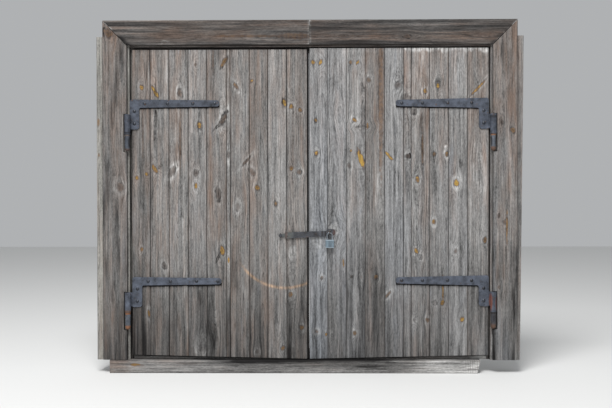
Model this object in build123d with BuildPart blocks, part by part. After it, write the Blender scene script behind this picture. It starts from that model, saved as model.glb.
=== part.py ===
from build123d import *
import os
from math import asin, atan2, cos, degrees, sin

# Double-leaf barn door in its own frame. X runs along the doorway, +Y goes into
# the barn and +Z is up. The origin is under the middle of the sill.

# Leaf boards, from the left edge of each leaf to its right edge
left_board_widths = [128, 132, 135, 129, 141, 26, 134, 131, 131, 145]
right_board_widths = [127, 133, 132, 135, 134, 53, 129, 133, 131, 148]
board_thickness = 28.0
seam_gap = 2.0             # dark line between two boards on the front
seam_bevel = 1.5
tongue_thickness = 8.0
tongue_length = 8.0
groove_clearance = 0.5

# Clearances round the leaves
meeting_gap = 15.0
meeting_lip_gap = 3.0      # lip on the left leaf to the edge of the right one
meeting_lip_thickness = 10.0
left_side_gap = 17.0
right_side_gap = 11.0
left_top_gap = 19.0
right_top_gap = 11.0
outer_bottom_gap = 35.0    # sill top to the boards, at the hinge edge
bottom_drop = 28.0         # how much longer the boards are at the meeting edge

# Frame heights
sill_height = 91.0
threshold_height = 59.0
doorway_height = 2198.0    # sill top to the head beam's rebate
head_housing = 73.0        # post above the rebate of the head
head_beam_rise = 78.0      # head beam above the post tops
head_stop_drop = 27.0

# Frame sections
sill_depth = 150.0
sill_left_run = 140.0      # sill beyond the doorway, under the left post
sill_right_short = 72.0    # sill missing at the right
saw_cut_run = 21.0
post_setback = 27.0        # post front behind the sill front
post_width = 233.0
right_post_taper = 24.0     # how much narrower the right post is at its foot
stop_width = 22.0          # stop behind the edge of the leaf
stop_gap = 2.0
head_beam_end_gap = 58.0   # head beam end to the outer face of the post
tenon_length = 40.0
tenon_thickness = 40.0
tenon_clearance = 0.5
arris = 5.0

# Casing boards
casing_width = 170.0
casing_thickness = 25.0
casing_reveal = 15.0       # post left bare between the casing and the doorway
head_reveal = 14.0
casing_foot_gap = 3.0
head_casing_joint = 2.0
mitre_gap = 3.0
notch_clearance = 4.0

# Ledges and braces on the back of each leaf
ledge_height = 150.0
ledge_thickness = 32.0
ledge_nut_gap = 10.0       # last plate nut to the end of the ledge
brace_width = 150.0
brace_thickness = 28.0
brace_end_gap = 120.0      # at the hinge edge
brace_staple_gap = 40.0    # brace to the legs of a staple
ledge_bevel = 6.0

# Strap hinges
lower_strap_height = 559.0  # right lower strap's centreline above the sill top
upper_strap_drop = 396.0    # upper straps' centreline below the head's rebate
left_lower_fall = 6.0       # left lower strap below the right one
strap_reaches = {
    "left_lower": 628.0, "left_upper": 616.0, "right_lower": 650.0, "right_upper": 650.0,
}
strap_root_heights = {"left": 59.0, "right": 70.0}
strap_tip_height = 43.0
strap_thickness = 6.0
strap_edge_bevel = 0.8
# The plates' outer edges beyond the edge of the leaf
plate_overhangs = {
    "left_lower": 0.0, "left_upper": 16.0, "right_lower": 0.0, "right_upper": 0.0,
}
plate_width = 69.0
plate_drop = 182.0
plate_corner = 22.0
plate_foot_corner = 6.0
strap_inner_corner = 12.0
strap_root_corner = 16.0
strap_tip_flat = 4.0
wrap_lift = 6.0            # the wrap round the barrel ends above the plate's foot
strap_bolt_reaches = {
    "left_lower": [111.0, 268.0, 453.0, 603.0],
    "left_upper": [92.0, 251.0, 430.0, 583.0],
    "right_lower": [120.0, 288.0, 464.0, 608.0],
    "right_upper": [120.0, 288.0, 464.0, 608.0],
}
plate_bolt_inset = 35.0
plate_bolt_drops = [54.0, 141.0]

# Hinge barrels and the pintles they lift off
barrel_outset = 28.0
barrel_stand_off = 1.0
knuckle_radius = 22.0
knuckle_drop = 78.0
knuckle_length = 140.0
knuckle_bevel = 2.0
collar_height = 14.0
collar_groove = 1.0
pin_radius = 10.0
pin_clearance = 0.3
pin_short = 6.0
pin_bevel = 2.0
washer_radius = 18.0
washer_thickness = 12.0
pintle_radius = 18.0
pintle_length = 106.0
pintle_nose = 18.0
shank_radius = 8.0
shank_length = 110.0
shank_point = 25.0
shank_tip_radius = 3.0
shank_clearance = 0.2

# Coach bolts and flanged nuts
bolt_radius = 4.0
bolt_hole_clearance = 0.3
bolt_head_radius = 12.0
bolt_head_height = 6.0
bolt_tail = 4.0
nut_flats = 13.0
nut_height = 6.5
nut_flange_radius = 11.0
nut_flange_thickness = 2.0

# Staples
staple_radius = 3.0
staple_hole_clearance = 0.3
clinch_length = 22.0
clinch_radius = 4.0
hasp_staple_inset = 190.0   # from the left leaf's meeting edge
hasp_staple_spacing = 28.0
hasp_staple_reach = 12.0
hasp_staple_bend = 5.0
lock_staple_inset = 142.0   # from the right leaf's meeting edge
lock_staple_spacing = 23.5
lock_staple_reach = 31.0
lock_staple_bend = 7.0

# Hasp
hasp_height = 885.0         # lower leg of the lock staple above the sill top
link_eye_radius = 10.0
link_eye_clearance = 0.6
link_eye_height = 16.0
link_gap = 1.7
link_thickness = 4.0
link_boss_radius = 17.0
rivet_reach = 49.0          # hasp staple to rivet
rivet_radius = 4.0
rivet_fit = 0.05
rivet_clearance = 0.3
rivet_flare = 2.0
rivet_head_radius = 8.0
rivet_head_height = 3.0
rivet_drop = 10.0           # rivet below the lower leg of the lock staple
bar_gap = 0.3
bar_thickness = 4.0
bar_root_height = 44.0
bar_root_corner = 12.0
bar_neck_height = 38.0
bar_root_lap = 19.0
bar_pad_reach = 40.0        # lock staple to the bar's end
bar_pad_back = 24.0
bar_pad_height = 44.0
bar_pad_corner = 18.0
slot_width = 16.0
slot_margin = 2.5
swage_depth = 1.0
swage_reaches = [58.0, 166.0]  # rivet to the start of each pressed panel
swage_length = 66.0
swage_width = 22.0
band_width = 5.0
band_reaches = [31.0, 53.0]  # back from the lock staple

# Padlock
shackle_radius = 5.0
shackle_spacing = 36.0
shackle_hang = 0.5
shackle_rise = 31.0         # body top to the centre of the bow
shackle_plane_gap = 1.0
heel_depth = 34.0
toe_depth = 5.0
shackle_hole_clearance = 0.3
lock_width = 60.0
lock_height = 55.0
lock_thickness = 22.0
lock_corner = 6.0
lock_edge_bevel = 1.5
lock_band = 6.0
lock_band_groove = 0.6
cylinder_radius = 7.0
cylinder_length = 30.0
cylinder_clearance = 0.2
key_slot_width = 2.0
key_slot_height = 8.0
key_slot_depth = 20.0

# Places worked out from the sizes above
left_leaf_width = sum(left_board_widths)
right_leaf_width = sum(right_board_widths)
opening_width = (
    left_side_gap + left_leaf_width + meeting_gap + right_leaf_width + right_side_gap
)
half_opening = opening_width / 2
half_stop = half_opening - stop_width
half_outer = half_opening + post_width
left_edge = -half_opening + left_side_gap
right_edge = half_opening - right_side_gap
left_meeting = left_edge + left_leaf_width
right_meeting = right_edge - right_leaf_width

sill_front = -sill_depth / 2
frame_back = sill_depth / 2
leaf_front = sill_front + post_setback
leaf_back = leaf_front + board_thickness
stop_front = leaf_back + stop_gap
lip_front = leaf_back - meeting_lip_thickness
tongue_front = (leaf_front + leaf_back - tongue_thickness) / 2
tongue_back = (leaf_front + leaf_back + tongue_thickness) / 2

soffit = sill_height + doorway_height
post_top = soffit + head_housing
lower_z = sill_height + lower_strap_height
upper_z = soffit - upper_strap_drop
strap_z = {
    "left_lower": lower_z - left_lower_fall, "right_lower": lower_z,
    "left_upper": upper_z, "right_upper": upper_z,
}
ledge_z = {"lower": lower_z, "middle": (lower_z + upper_z) / 2, "upper": upper_z}
ledge_end_gap = plate_bolt_inset + nut_flange_radius + ledge_nut_gap
axis_y = leaf_front - barrel_stand_off - knuckle_radius
strap_front = leaf_front - strap_thickness
bolt_hole = bolt_radius + bolt_hole_clearance

# side is -1 for the left leaf and +1 for the right one
sides = {"left": -1, "right": 1}
leaf_edges = {"left": left_edge, "right": right_edge}
axis_x = {"left": left_edge - barrel_outset, "right": right_edge + barrel_outset}
leaf_widths = {"left": left_leaf_width, "right": right_leaf_width}
top_gaps = {"left": left_top_gap, "right": right_top_gap}

hasp_staple_x = left_meeting - hasp_staple_inset
lock_staple_x = right_meeting + lock_staple_inset
lock_staple_low = sill_height + hasp_height
lock_staple_high = lock_staple_low + lock_staple_spacing
rivet_x = hasp_staple_x + rivet_reach
rivet_z = lock_staple_low - rivet_drop
hasp_staple_low = rivet_z - hasp_staple_spacing / 2
hasp_staple_high = rivet_z + hasp_staple_spacing / 2
hasp_axis_y = leaf_front - hasp_staple_reach
link_back = leaf_front - link_gap
link_front = link_back - link_thickness
bar_back = link_front - bar_gap
bar_front = bar_back - bar_thickness
shackle_y = leaf_front - lock_staple_reach + staple_radius + shackle_plane_gap + shackle_radius
bow_z = lock_staple_low + staple_radius + shackle_hang + shackle_radius - shackle_spacing / 2
lock_top = bow_z - shackle_rise
lock_bottom = lock_top - lock_height

os.makedirs("parts", exist_ok=True)


def save(piece, name):
    piece.part.label = name
    export_step(piece.part, f"parts/{name}.step")


def box_sketch(x0, x1, y0, y1):
    """A rectangle between two corners, inside the sketch that is open."""
    with Locations(((x0 + x1) / 2, (y0 + y1) / 2)):
        Rectangle(abs(x1 - x0), abs(y1 - y0))


def dome(x, base, radius, height):
    """The arc of a low dome, from its rim to its top on the axis at x, towards -Y."""
    ball = (radius**2 + height**2) / (2 * height)
    half = asin(radius / ball) / 2
    ThreePointArc(
        (x + radius, base), (x + ball * sin(half), base - height + ball * (1 - cos(half))),
        (x, base - height),
    )


def bolt_places(side):
    """Every bolt of one leaf: x, z and whether a ledge lies behind it."""
    places = []
    for level in ("lower", "upper"):
        hinge = f"{side}_{level}"
        edge, inward, z = leaf_edges[side], -sides[side], strap_z[hinge]
        plate_x = edge + inward * (plate_bolt_inset - plate_overhangs[hinge])
        places += [(edge + inward * r, z, True) for r in strap_bolt_reaches[hinge]]
        places += [(plate_x, z - d, False) for d in plate_bolt_drops]
    return places


def staple_places(side):
    """The x and z of the two staple legs that pass through one leaf."""
    if side == "left":
        return [(hasp_staple_x, hasp_staple_low), (hasp_staple_x, hasp_staple_high)]
    return [(lock_staple_x, lock_staple_low), (lock_staple_x, lock_staple_high)]


# Sill: one squared beam, its right end left at the slant of the saw
sill_left = -half_opening - sill_left_run
sill_right = half_opening - sill_right_short
with BuildPart() as sill_beam:
    with BuildSketch(Plane.XZ.offset(-frame_back)):
        with BuildLine():
            Polyline(
                (sill_left, 0), (sill_right - saw_cut_run, 0),
                (sill_right, sill_height), (sill_left, sill_height), close=True,
            )
        make_face()
    extrude(amount=sill_depth)
    front_edges = sill_beam.edges().filter_by(Axis.X).group_by(Axis.Y)[0]
    chamfer(front_edges, arris)
save(sill_beam, "sill_beam")

# Threshold: a rail behind the leaves, tenoned into both posts
tenon_z0 = sill_height + threshold_height / 4
tenon_z1 = sill_height + threshold_height * 3 / 4
tenon_y = (stop_front + frame_back) / 2
with BuildPart() as threshold:
    with BuildSketch(Plane.XY.offset(sill_height)):
        box_sketch(-half_stop, half_stop, stop_front, frame_back)
    extrude(amount=threshold_height)
    chamfer(threshold.edges().filter_by(Axis.X).group_by(Axis.Z)[-1], arris)
    with BuildSketch(Plane.XY.offset(tenon_z0)):
        box_sketch(
            -half_stop - tenon_length, half_stop + tenon_length,
            tenon_y - tenon_thickness / 2, tenon_y + tenon_thickness / 2,
        )
    extrude(amount=tenon_z1 - tenon_z0)
save(threshold, "threshold")


def pintle_top(side, level):
    """Height of the pintle's shoulder, which carries the washer."""
    return strap_z[f"{side}_{level}"] - knuckle_drop - knuckle_length - washer_thickness


def shank_height(side, level):
    return pintle_top(side, level) - (pintle_length - pintle_nose) / 2


def make_post(side):
    """A jamb post: its rebate is the stop that the leaf closes against."""
    s = sides[side]
    with BuildPart() as post:
        with BuildSketch(Plane.XY.offset(sill_height)):
            with BuildLine():
                Polyline(
                    (s * half_outer, leaf_front), (s * half_opening, leaf_front),
                    (s * half_opening, stop_front), (s * half_stop, stop_front),
                    (s * half_stop, frame_back), (s * half_outer, frame_back), close=True,
                )
            make_face()
        extrude(amount=post_top - sill_height)
        outer_edges = post.edges().filter_by(Axis.Z).group_by(Axis.X)[0 if s < 0 else -1]
        chamfer(outer_edges, arris)
        if side == "right":
            with BuildSketch(Plane.XZ.offset(-leaf_front)):
                with BuildLine():
                    Polyline(
                        (half_outer, post_top), (half_outer, sill_height),
                        (half_outer - right_post_taper, sill_height), close=True,
                    )
                make_face()
            extrude(amount=leaf_front - frame_back, mode=Mode.SUBTRACT)
        # Mortise for the threshold
        with BuildSketch(Plane.XY.offset(tenon_z0 - tenon_clearance)):
            box_sketch(
                s * half_stop, s * (half_stop + tenon_length + tenon_clearance),
                tenon_y - tenon_thickness / 2 - tenon_clearance,
                tenon_y + tenon_thickness / 2 + tenon_clearance,
            )
        extrude(amount=tenon_z1 - tenon_z0 + 2 * tenon_clearance, mode=Mode.SUBTRACT)
        # Bores for the two pintle shanks
        for level in ("lower", "upper"):
            with BuildSketch(Plane.XZ.offset(-leaf_front)):
                with Locations((axis_x[side], shank_height(side, level))):
                    Circle(shank_radius + shank_clearance)
            extrude(amount=-(shank_length - (leaf_front - axis_y) + shank_clearance), mode=Mode.SUBTRACT)
    return post


for side in sides:
    save(make_post(side), f"{side}_jamb_post")

# Head beam: it lies on both posts and hangs down between them as rebate and stop
half_beam = half_outer - head_beam_end_gap
with BuildPart() as head_beam:
    with BuildSketch(Plane.XY.offset(post_top)):
        box_sketch(-half_beam, half_beam, leaf_front, frame_back)
    extrude(amount=head_beam_rise)
    chamfer(head_beam.edges().filter_by(Axis.X).group_by(Axis.Z)[-1], arris)
    with BuildSketch(Plane.XY.offset(soffit)):
        box_sketch(-half_opening, half_opening, leaf_front, stop_front)
    extrude(amount=head_housing)
    with BuildSketch(Plane.XY.offset(soffit - head_stop_drop)):
        box_sketch(-half_stop, half_stop, stop_front, frame_back)
    extrude(amount=head_housing + head_stop_drop)
save(head_beam, "head_beam")

casing_inner = half_opening + casing_reveal
casing_outer = casing_inner + casing_width
casing_low = soffit + head_reveal
casing_high = casing_low + casing_width


def make_side_casing(side):
    """A flat board up the post, mitred at the head and notched round the barrels."""
    s = sides[side]
    with BuildPart() as casing:
        with BuildSketch(Plane.XZ.offset(-leaf_front)):
            with BuildLine():
                Polyline(
                    (s * casing_inner, sill_height + casing_foot_gap),
                    (s * casing_outer, sill_height + casing_foot_gap),
                    (s * casing_outer, casing_high - mitre_gap),
                    (s * casing_inner, casing_low - mitre_gap), close=True,
                )
            make_face()
            for level in ("lower", "upper"):
                low = pintle_top(side, level) - pintle_length - notch_clearance
                high = strap_z[f"{side}_{level}"] - knuckle_drop + notch_clearance
                depth = abs(axis_x[side]) + knuckle_radius + notch_clearance - casing_inner
                with Locations((s * (casing_inner + depth / 2), (low + high) / 2)):
                    Rectangle(depth, high - low, mode=Mode.SUBTRACT)
        extrude(amount=casing_thickness)
    return casing


def make_head_casing(side):
    """Half of the head casing, from the butt joint in the middle to its mitre."""
    s = sides[side]
    with BuildPart() as casing:
        with BuildSketch(Plane.XZ.offset(-leaf_front)):
            with BuildLine():
                Polyline(
                    (s * head_casing_joint / 2, casing_low), (s * casing_inner, casing_low),
                    (s * casing_outer, casing_high), (s * head_casing_joint / 2, casing_high),
                    close=True,
                )
            make_face()
        extrude(amount=casing_thickness)
    return casing


for side in sides:
    save(make_side_casing(side), f"{side}_casing")
    save(make_head_casing(side), f"{side}_head_casing")


def make_pintle(side, level):
    """The hook that carries a leaf: pin, thick body with a round nose, driven shank."""
    x, top = axis_x[side], pintle_top(side, level)
    pin_top = strap_z[f"{side}_{level}"] - knuckle_drop - pin_short
    low = top - pintle_length
    diagonal = 0.5**0.5
    with BuildPart() as pintle:
        with BuildSketch(Plane.XZ.offset(-axis_y)):
            with BuildLine():
                Polyline(
                    (x, low), (x, pin_top), (x + pin_radius - pin_bevel, pin_top),
                    (x + pin_radius, pin_top - pin_bevel), (x + pin_radius, top),
                    (x + pintle_radius, top), (x + pintle_radius, low + pintle_nose),
                )
                ThreePointArc(
                    (x + pintle_radius, low + pintle_nose),
                    (x + pintle_radius * diagonal, low + pintle_nose * (1 - diagonal)),
                    (x, low),
                )
            make_face()
        revolve(axis=Axis((x, axis_y, 0), (0, 0, 1)))
        with BuildSketch(Plane.XZ.offset(-axis_y)):
            with Locations((x, shank_height(side, level))):
                Circle(shank_radius)
        extrude(amount=-(shank_length - shank_point))
        with BuildSketch(Plane.XZ.offset(-axis_y - shank_length + shank_point)) as shank_end:
            with Locations((x, shank_height(side, level))):
                Circle(shank_radius)
        with BuildSketch(Plane.XZ.offset(-axis_y - shank_length)) as shank_tip:
            with Locations((x, shank_height(side, level))):
                Circle(shank_tip_radius)
        loft(sections=[shank_end.sketch, shank_tip.sketch])
    return pintle


for side in sides:
    for level in ("lower", "upper"):
        save(make_pintle(side, level), f"{side}_{level}_pintle")

# Thick washers that lift each leaf to its height on the pintles
with BuildPart() as hinge_washers:
    for side in sides:
        for level in ("lower", "upper"):
            with BuildSketch(Plane.XY.offset(pintle_top(side, level))):
                with Locations((axis_x[side], axis_y)):
                    Circle(washer_radius)
                    Circle(pin_radius + pin_clearance, mode=Mode.SUBTRACT)
            extrude(amount=washer_thickness)
save(hinge_washers, "hinge_washers")


def board_left(x, first):
    """The left edge of a board's section, from the back forward: plain or grooved."""
    if first:
        return [(x, leaf_back)]
    t0, t1 = tongue_front - groove_clearance, tongue_back + groove_clearance
    groove_end = x + tongue_length + 2 * groove_clearance
    g = x + seam_gap / 2
    return [(x, leaf_back), (x, t1), (groove_end, t1), (groove_end, t0), (g, t0)]


def board_right(x, last, lip):
    """The right edge of a board's section, from the front back: plain, lipped or tongued."""
    if last:
        return [(x, lip_front), (x + lip, lip_front), (x + lip, leaf_back)]
    tip, g = x + tongue_length, x - seam_gap / 2
    return [(g, tongue_front), (tip, tongue_front), (tip, tongue_back), (x, tongue_back),
            (x, leaf_back)]


def make_board(side, x0, x1, first, last):
    """One tongue-and-groove board, its foot cut to the slope of the leaf."""
    edge, width = leaf_edges[side], leaf_widths[side]
    inward = -sides[side]
    foot = sill_height + outer_bottom_gap
    top = soffit - top_gaps[side]
    face0 = x0 if first else x0 + seam_gap / 2
    face1 = x1 if last else x1 - seam_gap / 2
    lip = meeting_gap - meeting_lip_gap if side == "left" else 0
    outline = [
        (face0, leaf_front + seam_bevel), (face0 + seam_bevel, leaf_front),
        (face1 - seam_bevel, leaf_front), (face1, leaf_front + seam_bevel),
    ]
    if last and not lip:
        outline += [(x1, leaf_back)]
    else:
        outline += board_right(x1, last, lip)
    outline += board_left(x0, first)
    with BuildPart() as board:
        with BuildSketch(Plane.XY.offset(foot - bottom_drop)):
            with BuildLine():
                Polyline(*outline, close=True)
            make_face()
        extrude(amount=top - foot + bottom_drop)
        slope = Plane(
            origin=(edge, leaf_front, foot),
            x_dir=(width * inward, 0, -bottom_drop),
            z_dir=(bottom_drop * inward, 0, width),
        )
        split(bisect_by=slope, keep=Keep.TOP)
        holes = [(x, z, bolt_hole) for x, z, _ in bolt_places(side)]
        holes += [(x, z, staple_radius + staple_hole_clearance) for x, z in staple_places(side)]
        near = [h for h in holes if x0 - h[2] < h[0] < x1 + h[2] + tongue_length]
        if near:
            with BuildSketch(Plane.XZ.offset(-leaf_back)):
                for x, z, radius in near:
                    with Locations((x, z)):
                        Circle(radius)
            extrude(amount=board_thickness, mode=Mode.SUBTRACT)
    return board


for side, widths in (("left", left_board_widths), ("right", right_board_widths)):
    x = left_edge if side == "left" else right_meeting
    for i, width in enumerate(widths):
        board = make_board(side, x, x + width, i == 0, i == len(widths) - 1)
        save(board, f"{side}_board_{i + 1}")
        x += width


def make_ledge(side, level):
    """A level batten across the back of the boards, bevelled on its room side."""
    inward = -sides[side]
    x0 = leaf_edges[side] + inward * ledge_end_gap
    x1 = leaf_edges[side] + inward * (leaf_widths[side] - ledge_end_gap)
    with BuildPart() as ledge:
        with BuildSketch(Plane.XZ.offset(-leaf_back)):
            box_sketch(x0, x1, ledge_z[level] - ledge_height / 2, ledge_z[level] + ledge_height / 2)
        extrude(amount=-ledge_thickness)
        chamfer(ledge.faces().sort_by(Axis.Y)[-1].edges(), ledge_bevel)
        if level != "middle":
            low, high = ledge_z[level] - ledge_height / 2, ledge_z[level] + ledge_height / 2
            with BuildSketch(Plane.XZ.offset(-leaf_back)):
                with Locations(*[(x, z) for x, z, ledged in bolt_places(side) if ledged and low < z < high]):
                    Circle(bolt_hole)
            extrude(amount=-ledge_thickness, mode=Mode.SUBTRACT)
    return ledge


def make_brace(side, below, above):
    """A diagonal that rises from the hinge edge and butts against two ledges."""
    inward = -sides[side]
    z0 = ledge_z[below] + ledge_height / 2
    z1 = ledge_z[above] - ledge_height / 2
    x0 = leaf_edges[side] + inward * brace_end_gap
    staple_x = staple_places(side)[0][0]
    x1 = staple_x - inward * (staple_radius + brace_staple_gap)
    run, rise = abs(x1 - x0) - brace_width, z1 - z0
    cut = brace_width * (run**2 + rise**2) ** 0.5 / rise
    with BuildPart() as brace:
        with BuildSketch(Plane.XZ.offset(-leaf_back)):
            with BuildLine():
                Polyline(
                    (x0, z0), (x0 + inward * cut, z0), (x1, z1), (x1 - inward * cut, z1),
                    close=True,
                )
            make_face()
        extrude(amount=-brace_thickness)
    return brace


for side in sides:
    for level in ledge_z:
        save(make_ledge(side, level), f"{side}_{level}_ledge")
    save(make_brace(side, "lower", "middle"), f"{side}_lower_brace")
    save(make_brace(side, "middle", "upper"), f"{side}_upper_brace")


def make_strap_hinge(side, level):
    """An L-shaped plate with a tapered strap, and the barrel forged on its outer edge."""
    inward, place = -sides[side], f"{side}_{level}"
    edge, z = leaf_edges[side], strap_z[place]
    root, tip = strap_root_heights[side] / 2, strap_tip_height / 2
    outer, reach = -plate_overhangs[place], strap_reaches[place]
    inner = outer + plate_width
    outline = [
        (outer, -plate_drop), (inner, -plate_drop), (inner, -root),
        (reach, -tip), (reach, tip), (outer, root),
    ]
    tip_corner = tip - strap_tip_flat / 2
    corners = [
        plate_foot_corner, plate_corner, strap_inner_corner, tip_corner, tip_corner,
        strap_root_corner,
    ]
    knuckle_high = z - knuckle_drop
    knuckle_low = knuckle_high - knuckle_length
    x = axis_x[side]
    with BuildPart() as hinge:
        with BuildSketch(Plane.XZ.offset(-leaf_front)):
            with BuildLine():
                FilletPolyline(
                    *[(edge + inward * u, z + v) for u, v in outline], radius=corners, close=True
                )
            make_face()
        extrude(amount=strap_thickness)
        chamfer(hinge.faces().sort_by(Axis.Y)[0].edges(), strap_edge_bevel)
        # The plate wraps behind the barrel as far as its axis
        with BuildSketch(Plane.XZ.offset(-leaf_front + barrel_stand_off)):
            box_sketch(x, edge, z - plate_drop + wrap_lift, knuckle_high)
        extrude(amount=strap_thickness - barrel_stand_off)
        with BuildSketch(Plane.XZ.offset(-axis_y)):
            with BuildLine():
                Polyline(
                    (x, knuckle_low), (x + knuckle_radius - knuckle_bevel, knuckle_low),
                    (x + knuckle_radius, knuckle_low + knuckle_bevel),
                    (x + knuckle_radius, knuckle_low + collar_height - collar_groove),
                    (x + knuckle_radius - collar_groove, knuckle_low + collar_height),
                    (x + knuckle_radius, knuckle_low + collar_height + collar_groove),
                    (x + knuckle_radius, knuckle_high - knuckle_bevel),
                    (x + knuckle_radius - knuckle_bevel, knuckle_high), (x, knuckle_high),
                    close=True,
                )
            make_face()
        revolve(axis=Axis((x, axis_y, 0), (0, 0, 1)))
        with BuildSketch(Plane.XY.offset(knuckle_low)):
            with Locations((x, axis_y)):
                Circle(pin_radius + pin_clearance)
        extrude(amount=knuckle_length, mode=Mode.SUBTRACT)
        # Bolt holes
        with BuildSketch(Plane.XZ.offset(-leaf_front)):
            with Locations(*[(edge + inward * r, z) for r in strap_bolt_reaches[place]]):
                Circle(bolt_hole)
            plate_x = edge + inward * (outer + plate_bolt_inset)
            with Locations(*[(plate_x, z - d) for d in plate_bolt_drops]):
                Circle(bolt_hole)
        extrude(amount=strap_thickness, mode=Mode.SUBTRACT)
    return hinge


def make_bolts(side):
    """Coach bolts: a low dome on the strap and a plain shank through the wood."""
    with BuildPart() as bolts:
        for x, z, ledged in bolt_places(side):
            grip = strap_thickness + board_thickness + (ledge_thickness if ledged else 0)
            length = grip + nut_flange_thickness + nut_height + bolt_tail
            with BuildSketch(Plane.XY.offset(z)):
                with BuildLine():
                    Line((x, strap_front - bolt_head_height), (x, strap_front + length))
                    Polyline(
                        (x, strap_front + length), (x + bolt_radius, strap_front + length),
                        (x + bolt_radius, strap_front), (x + bolt_head_radius, strap_front),
                    )
                    dome(x, strap_front, bolt_head_radius, bolt_head_height)
                make_face()
            revolve(axis=Axis((x, 0, z), (0, 1, 0)))
    return bolts


def make_nuts(side):
    """Flanged nuts, drawn up on the ledges or on the bare boards."""
    with BuildPart() as nuts:
        for x, z, ledged in bolt_places(side):
            seat = leaf_back + (ledge_thickness if ledged else 0)
            with BuildSketch(Plane.XZ.offset(-seat)):
                with Locations((x, z)):
                    Circle(nut_flange_radius)
                    Circle(bolt_hole, mode=Mode.SUBTRACT)
            extrude(amount=-nut_flange_thickness)
            with BuildSketch(Plane.XZ.offset(-seat - nut_flange_thickness)):
                with Locations((x, z)):
                    RegularPolygon(radius=nut_flats / 2, side_count=6, major_radius=False)
                    Circle(bolt_hole, mode=Mode.SUBTRACT)
            extrude(amount=-nut_height)
    return nuts


def make_staple(x, low, high, reach, bend):
    """A wire staple driven from the front, its legs clinched on the back of the boards."""
    back = leaf_back + clinch_radius + staple_hole_clearance
    bow = leaf_front - reach
    route = [
        (x, back, low - clinch_length), (x, back, low), (x, bow, low),
        (x, bow, high), (x, back, high), (x, back, high + clinch_length),
    ]
    with BuildPart() as staple:
        with BuildLine() as wire:
            FilletPolyline(*route, radius=[clinch_radius, bend, bend, clinch_radius])
        with BuildSketch(Plane(origin=route[0], z_dir=(0, 0, 1))):
            Circle(staple_radius)
        sweep(path=wire.line)
    return staple


for side in sides:
    for level in ("lower", "upper"):
        save(make_strap_hinge(side, level), f"{side}_{level}_strap_hinge")
    save(make_bolts(side), f"{side}_hinge_bolts")
    save(make_nuts(side), f"{side}_hinge_nuts")

save(
    make_staple(
        hasp_staple_x, hasp_staple_low, hasp_staple_high, hasp_staple_reach, hasp_staple_bend
    ),
    "hasp_staple",
)
save(
    make_staple(
        lock_staple_x, lock_staple_low, lock_staple_high, lock_staple_reach, lock_staple_bend
    ),
    "lock_staple",
)

# Hasp link: a forged eye on the staple, and a boss for the rivet
with BuildPart() as hasp_link:
    with BuildSketch(Plane.XZ.offset(-link_back)):
        with Locations((rivet_x, rivet_z)):
            Circle(link_boss_radius)
        with BuildLine():
            Polyline(
                (hasp_staple_x, rivet_z - link_eye_height / 2), (rivet_x, rivet_z - link_boss_radius),
                (rivet_x, rivet_z + link_boss_radius), (hasp_staple_x, rivet_z + link_eye_height / 2),
                close=True,
            )
        make_face()
    extrude(amount=link_thickness)
    with BuildSketch(Plane.XY.offset(rivet_z - link_eye_height / 2)):
        with Locations((hasp_staple_x, hasp_axis_y)):
            Circle(link_eye_radius)
    extrude(amount=link_eye_height)
    with BuildSketch(Plane.XY.offset(rivet_z - link_eye_height / 2)):
        with Locations((hasp_staple_x, hasp_axis_y)):
            Circle(staple_radius + link_eye_clearance)
    extrude(amount=link_eye_height, mode=Mode.SUBTRACT)
    with Locations(Location((rivet_x, link_back, rivet_z), (-90, 0, 0))):
        CounterSinkHole(
            radius=rivet_radius + rivet_clearance,
            counter_sink_radius=rivet_radius + rivet_flare + rivet_clearance,
            depth=link_thickness, counter_sink_angle=90,
        )
save(hasp_link, "hasp_link")

# Hasp bar: a tapered flat bar with a slotted pad, two pressed panels and two bands
bar_end = lock_staple_x + bar_pad_reach
pad_start = lock_staple_x - bar_pad_back
pad_z = (lock_staple_low + lock_staple_high) / 2
neck_z = lock_staple_low + staple_radius
with BuildPart() as hasp_bar:
    with BuildSketch(Plane.XZ.offset(-bar_back)):
        with BuildLine():
            FilletPolyline(
                (rivet_x - bar_root_lap, rivet_z - bar_root_height / 2),
                (pad_start + bar_pad_corner, neck_z - bar_neck_height / 2),
                (pad_start + bar_pad_corner, neck_z + bar_neck_height / 2),
                (rivet_x - bar_root_lap, rivet_z + bar_root_height / 2),
                radius=[bar_root_corner, 0, 0, bar_root_corner], close=True,
            )
        make_face()
        with Locations(((pad_start + bar_end) / 2, pad_z)):
            RectangleRounded(bar_end - pad_start, bar_pad_height, bar_pad_corner)
        with Locations((lock_staple_x, pad_z)):
            SlotOverall(
                lock_staple_spacing + 2 * (staple_radius + slot_margin), slot_width, rotation=90,
                mode=Mode.SUBTRACT,
            )
        with Locations((rivet_x, rivet_z)):
            Circle(rivet_radius + rivet_fit, mode=Mode.SUBTRACT)
    extrude(amount=bar_thickness)
    bar_slope = degrees(atan2(neck_z - rivet_z, pad_start - rivet_x))
    with BuildSketch(Plane.XZ.offset(-bar_front)):
        for reach in swage_reaches:
            middle = reach + swage_length / 2
            rise = (neck_z - rivet_z) * middle / (pad_start - rivet_x)
            with Locations((rivet_x + middle, rivet_z + rise)):
                SlotOverall(swage_length, swage_width, rotation=bar_slope)
        with Locations(*[(lock_staple_x - r, pad_z) for r in band_reaches]):
            Rectangle(band_width, 2 * bar_pad_height)
    extrude(amount=-swage_depth, mode=Mode.SUBTRACT)
save(hasp_bar, "hasp_bar")

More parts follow.
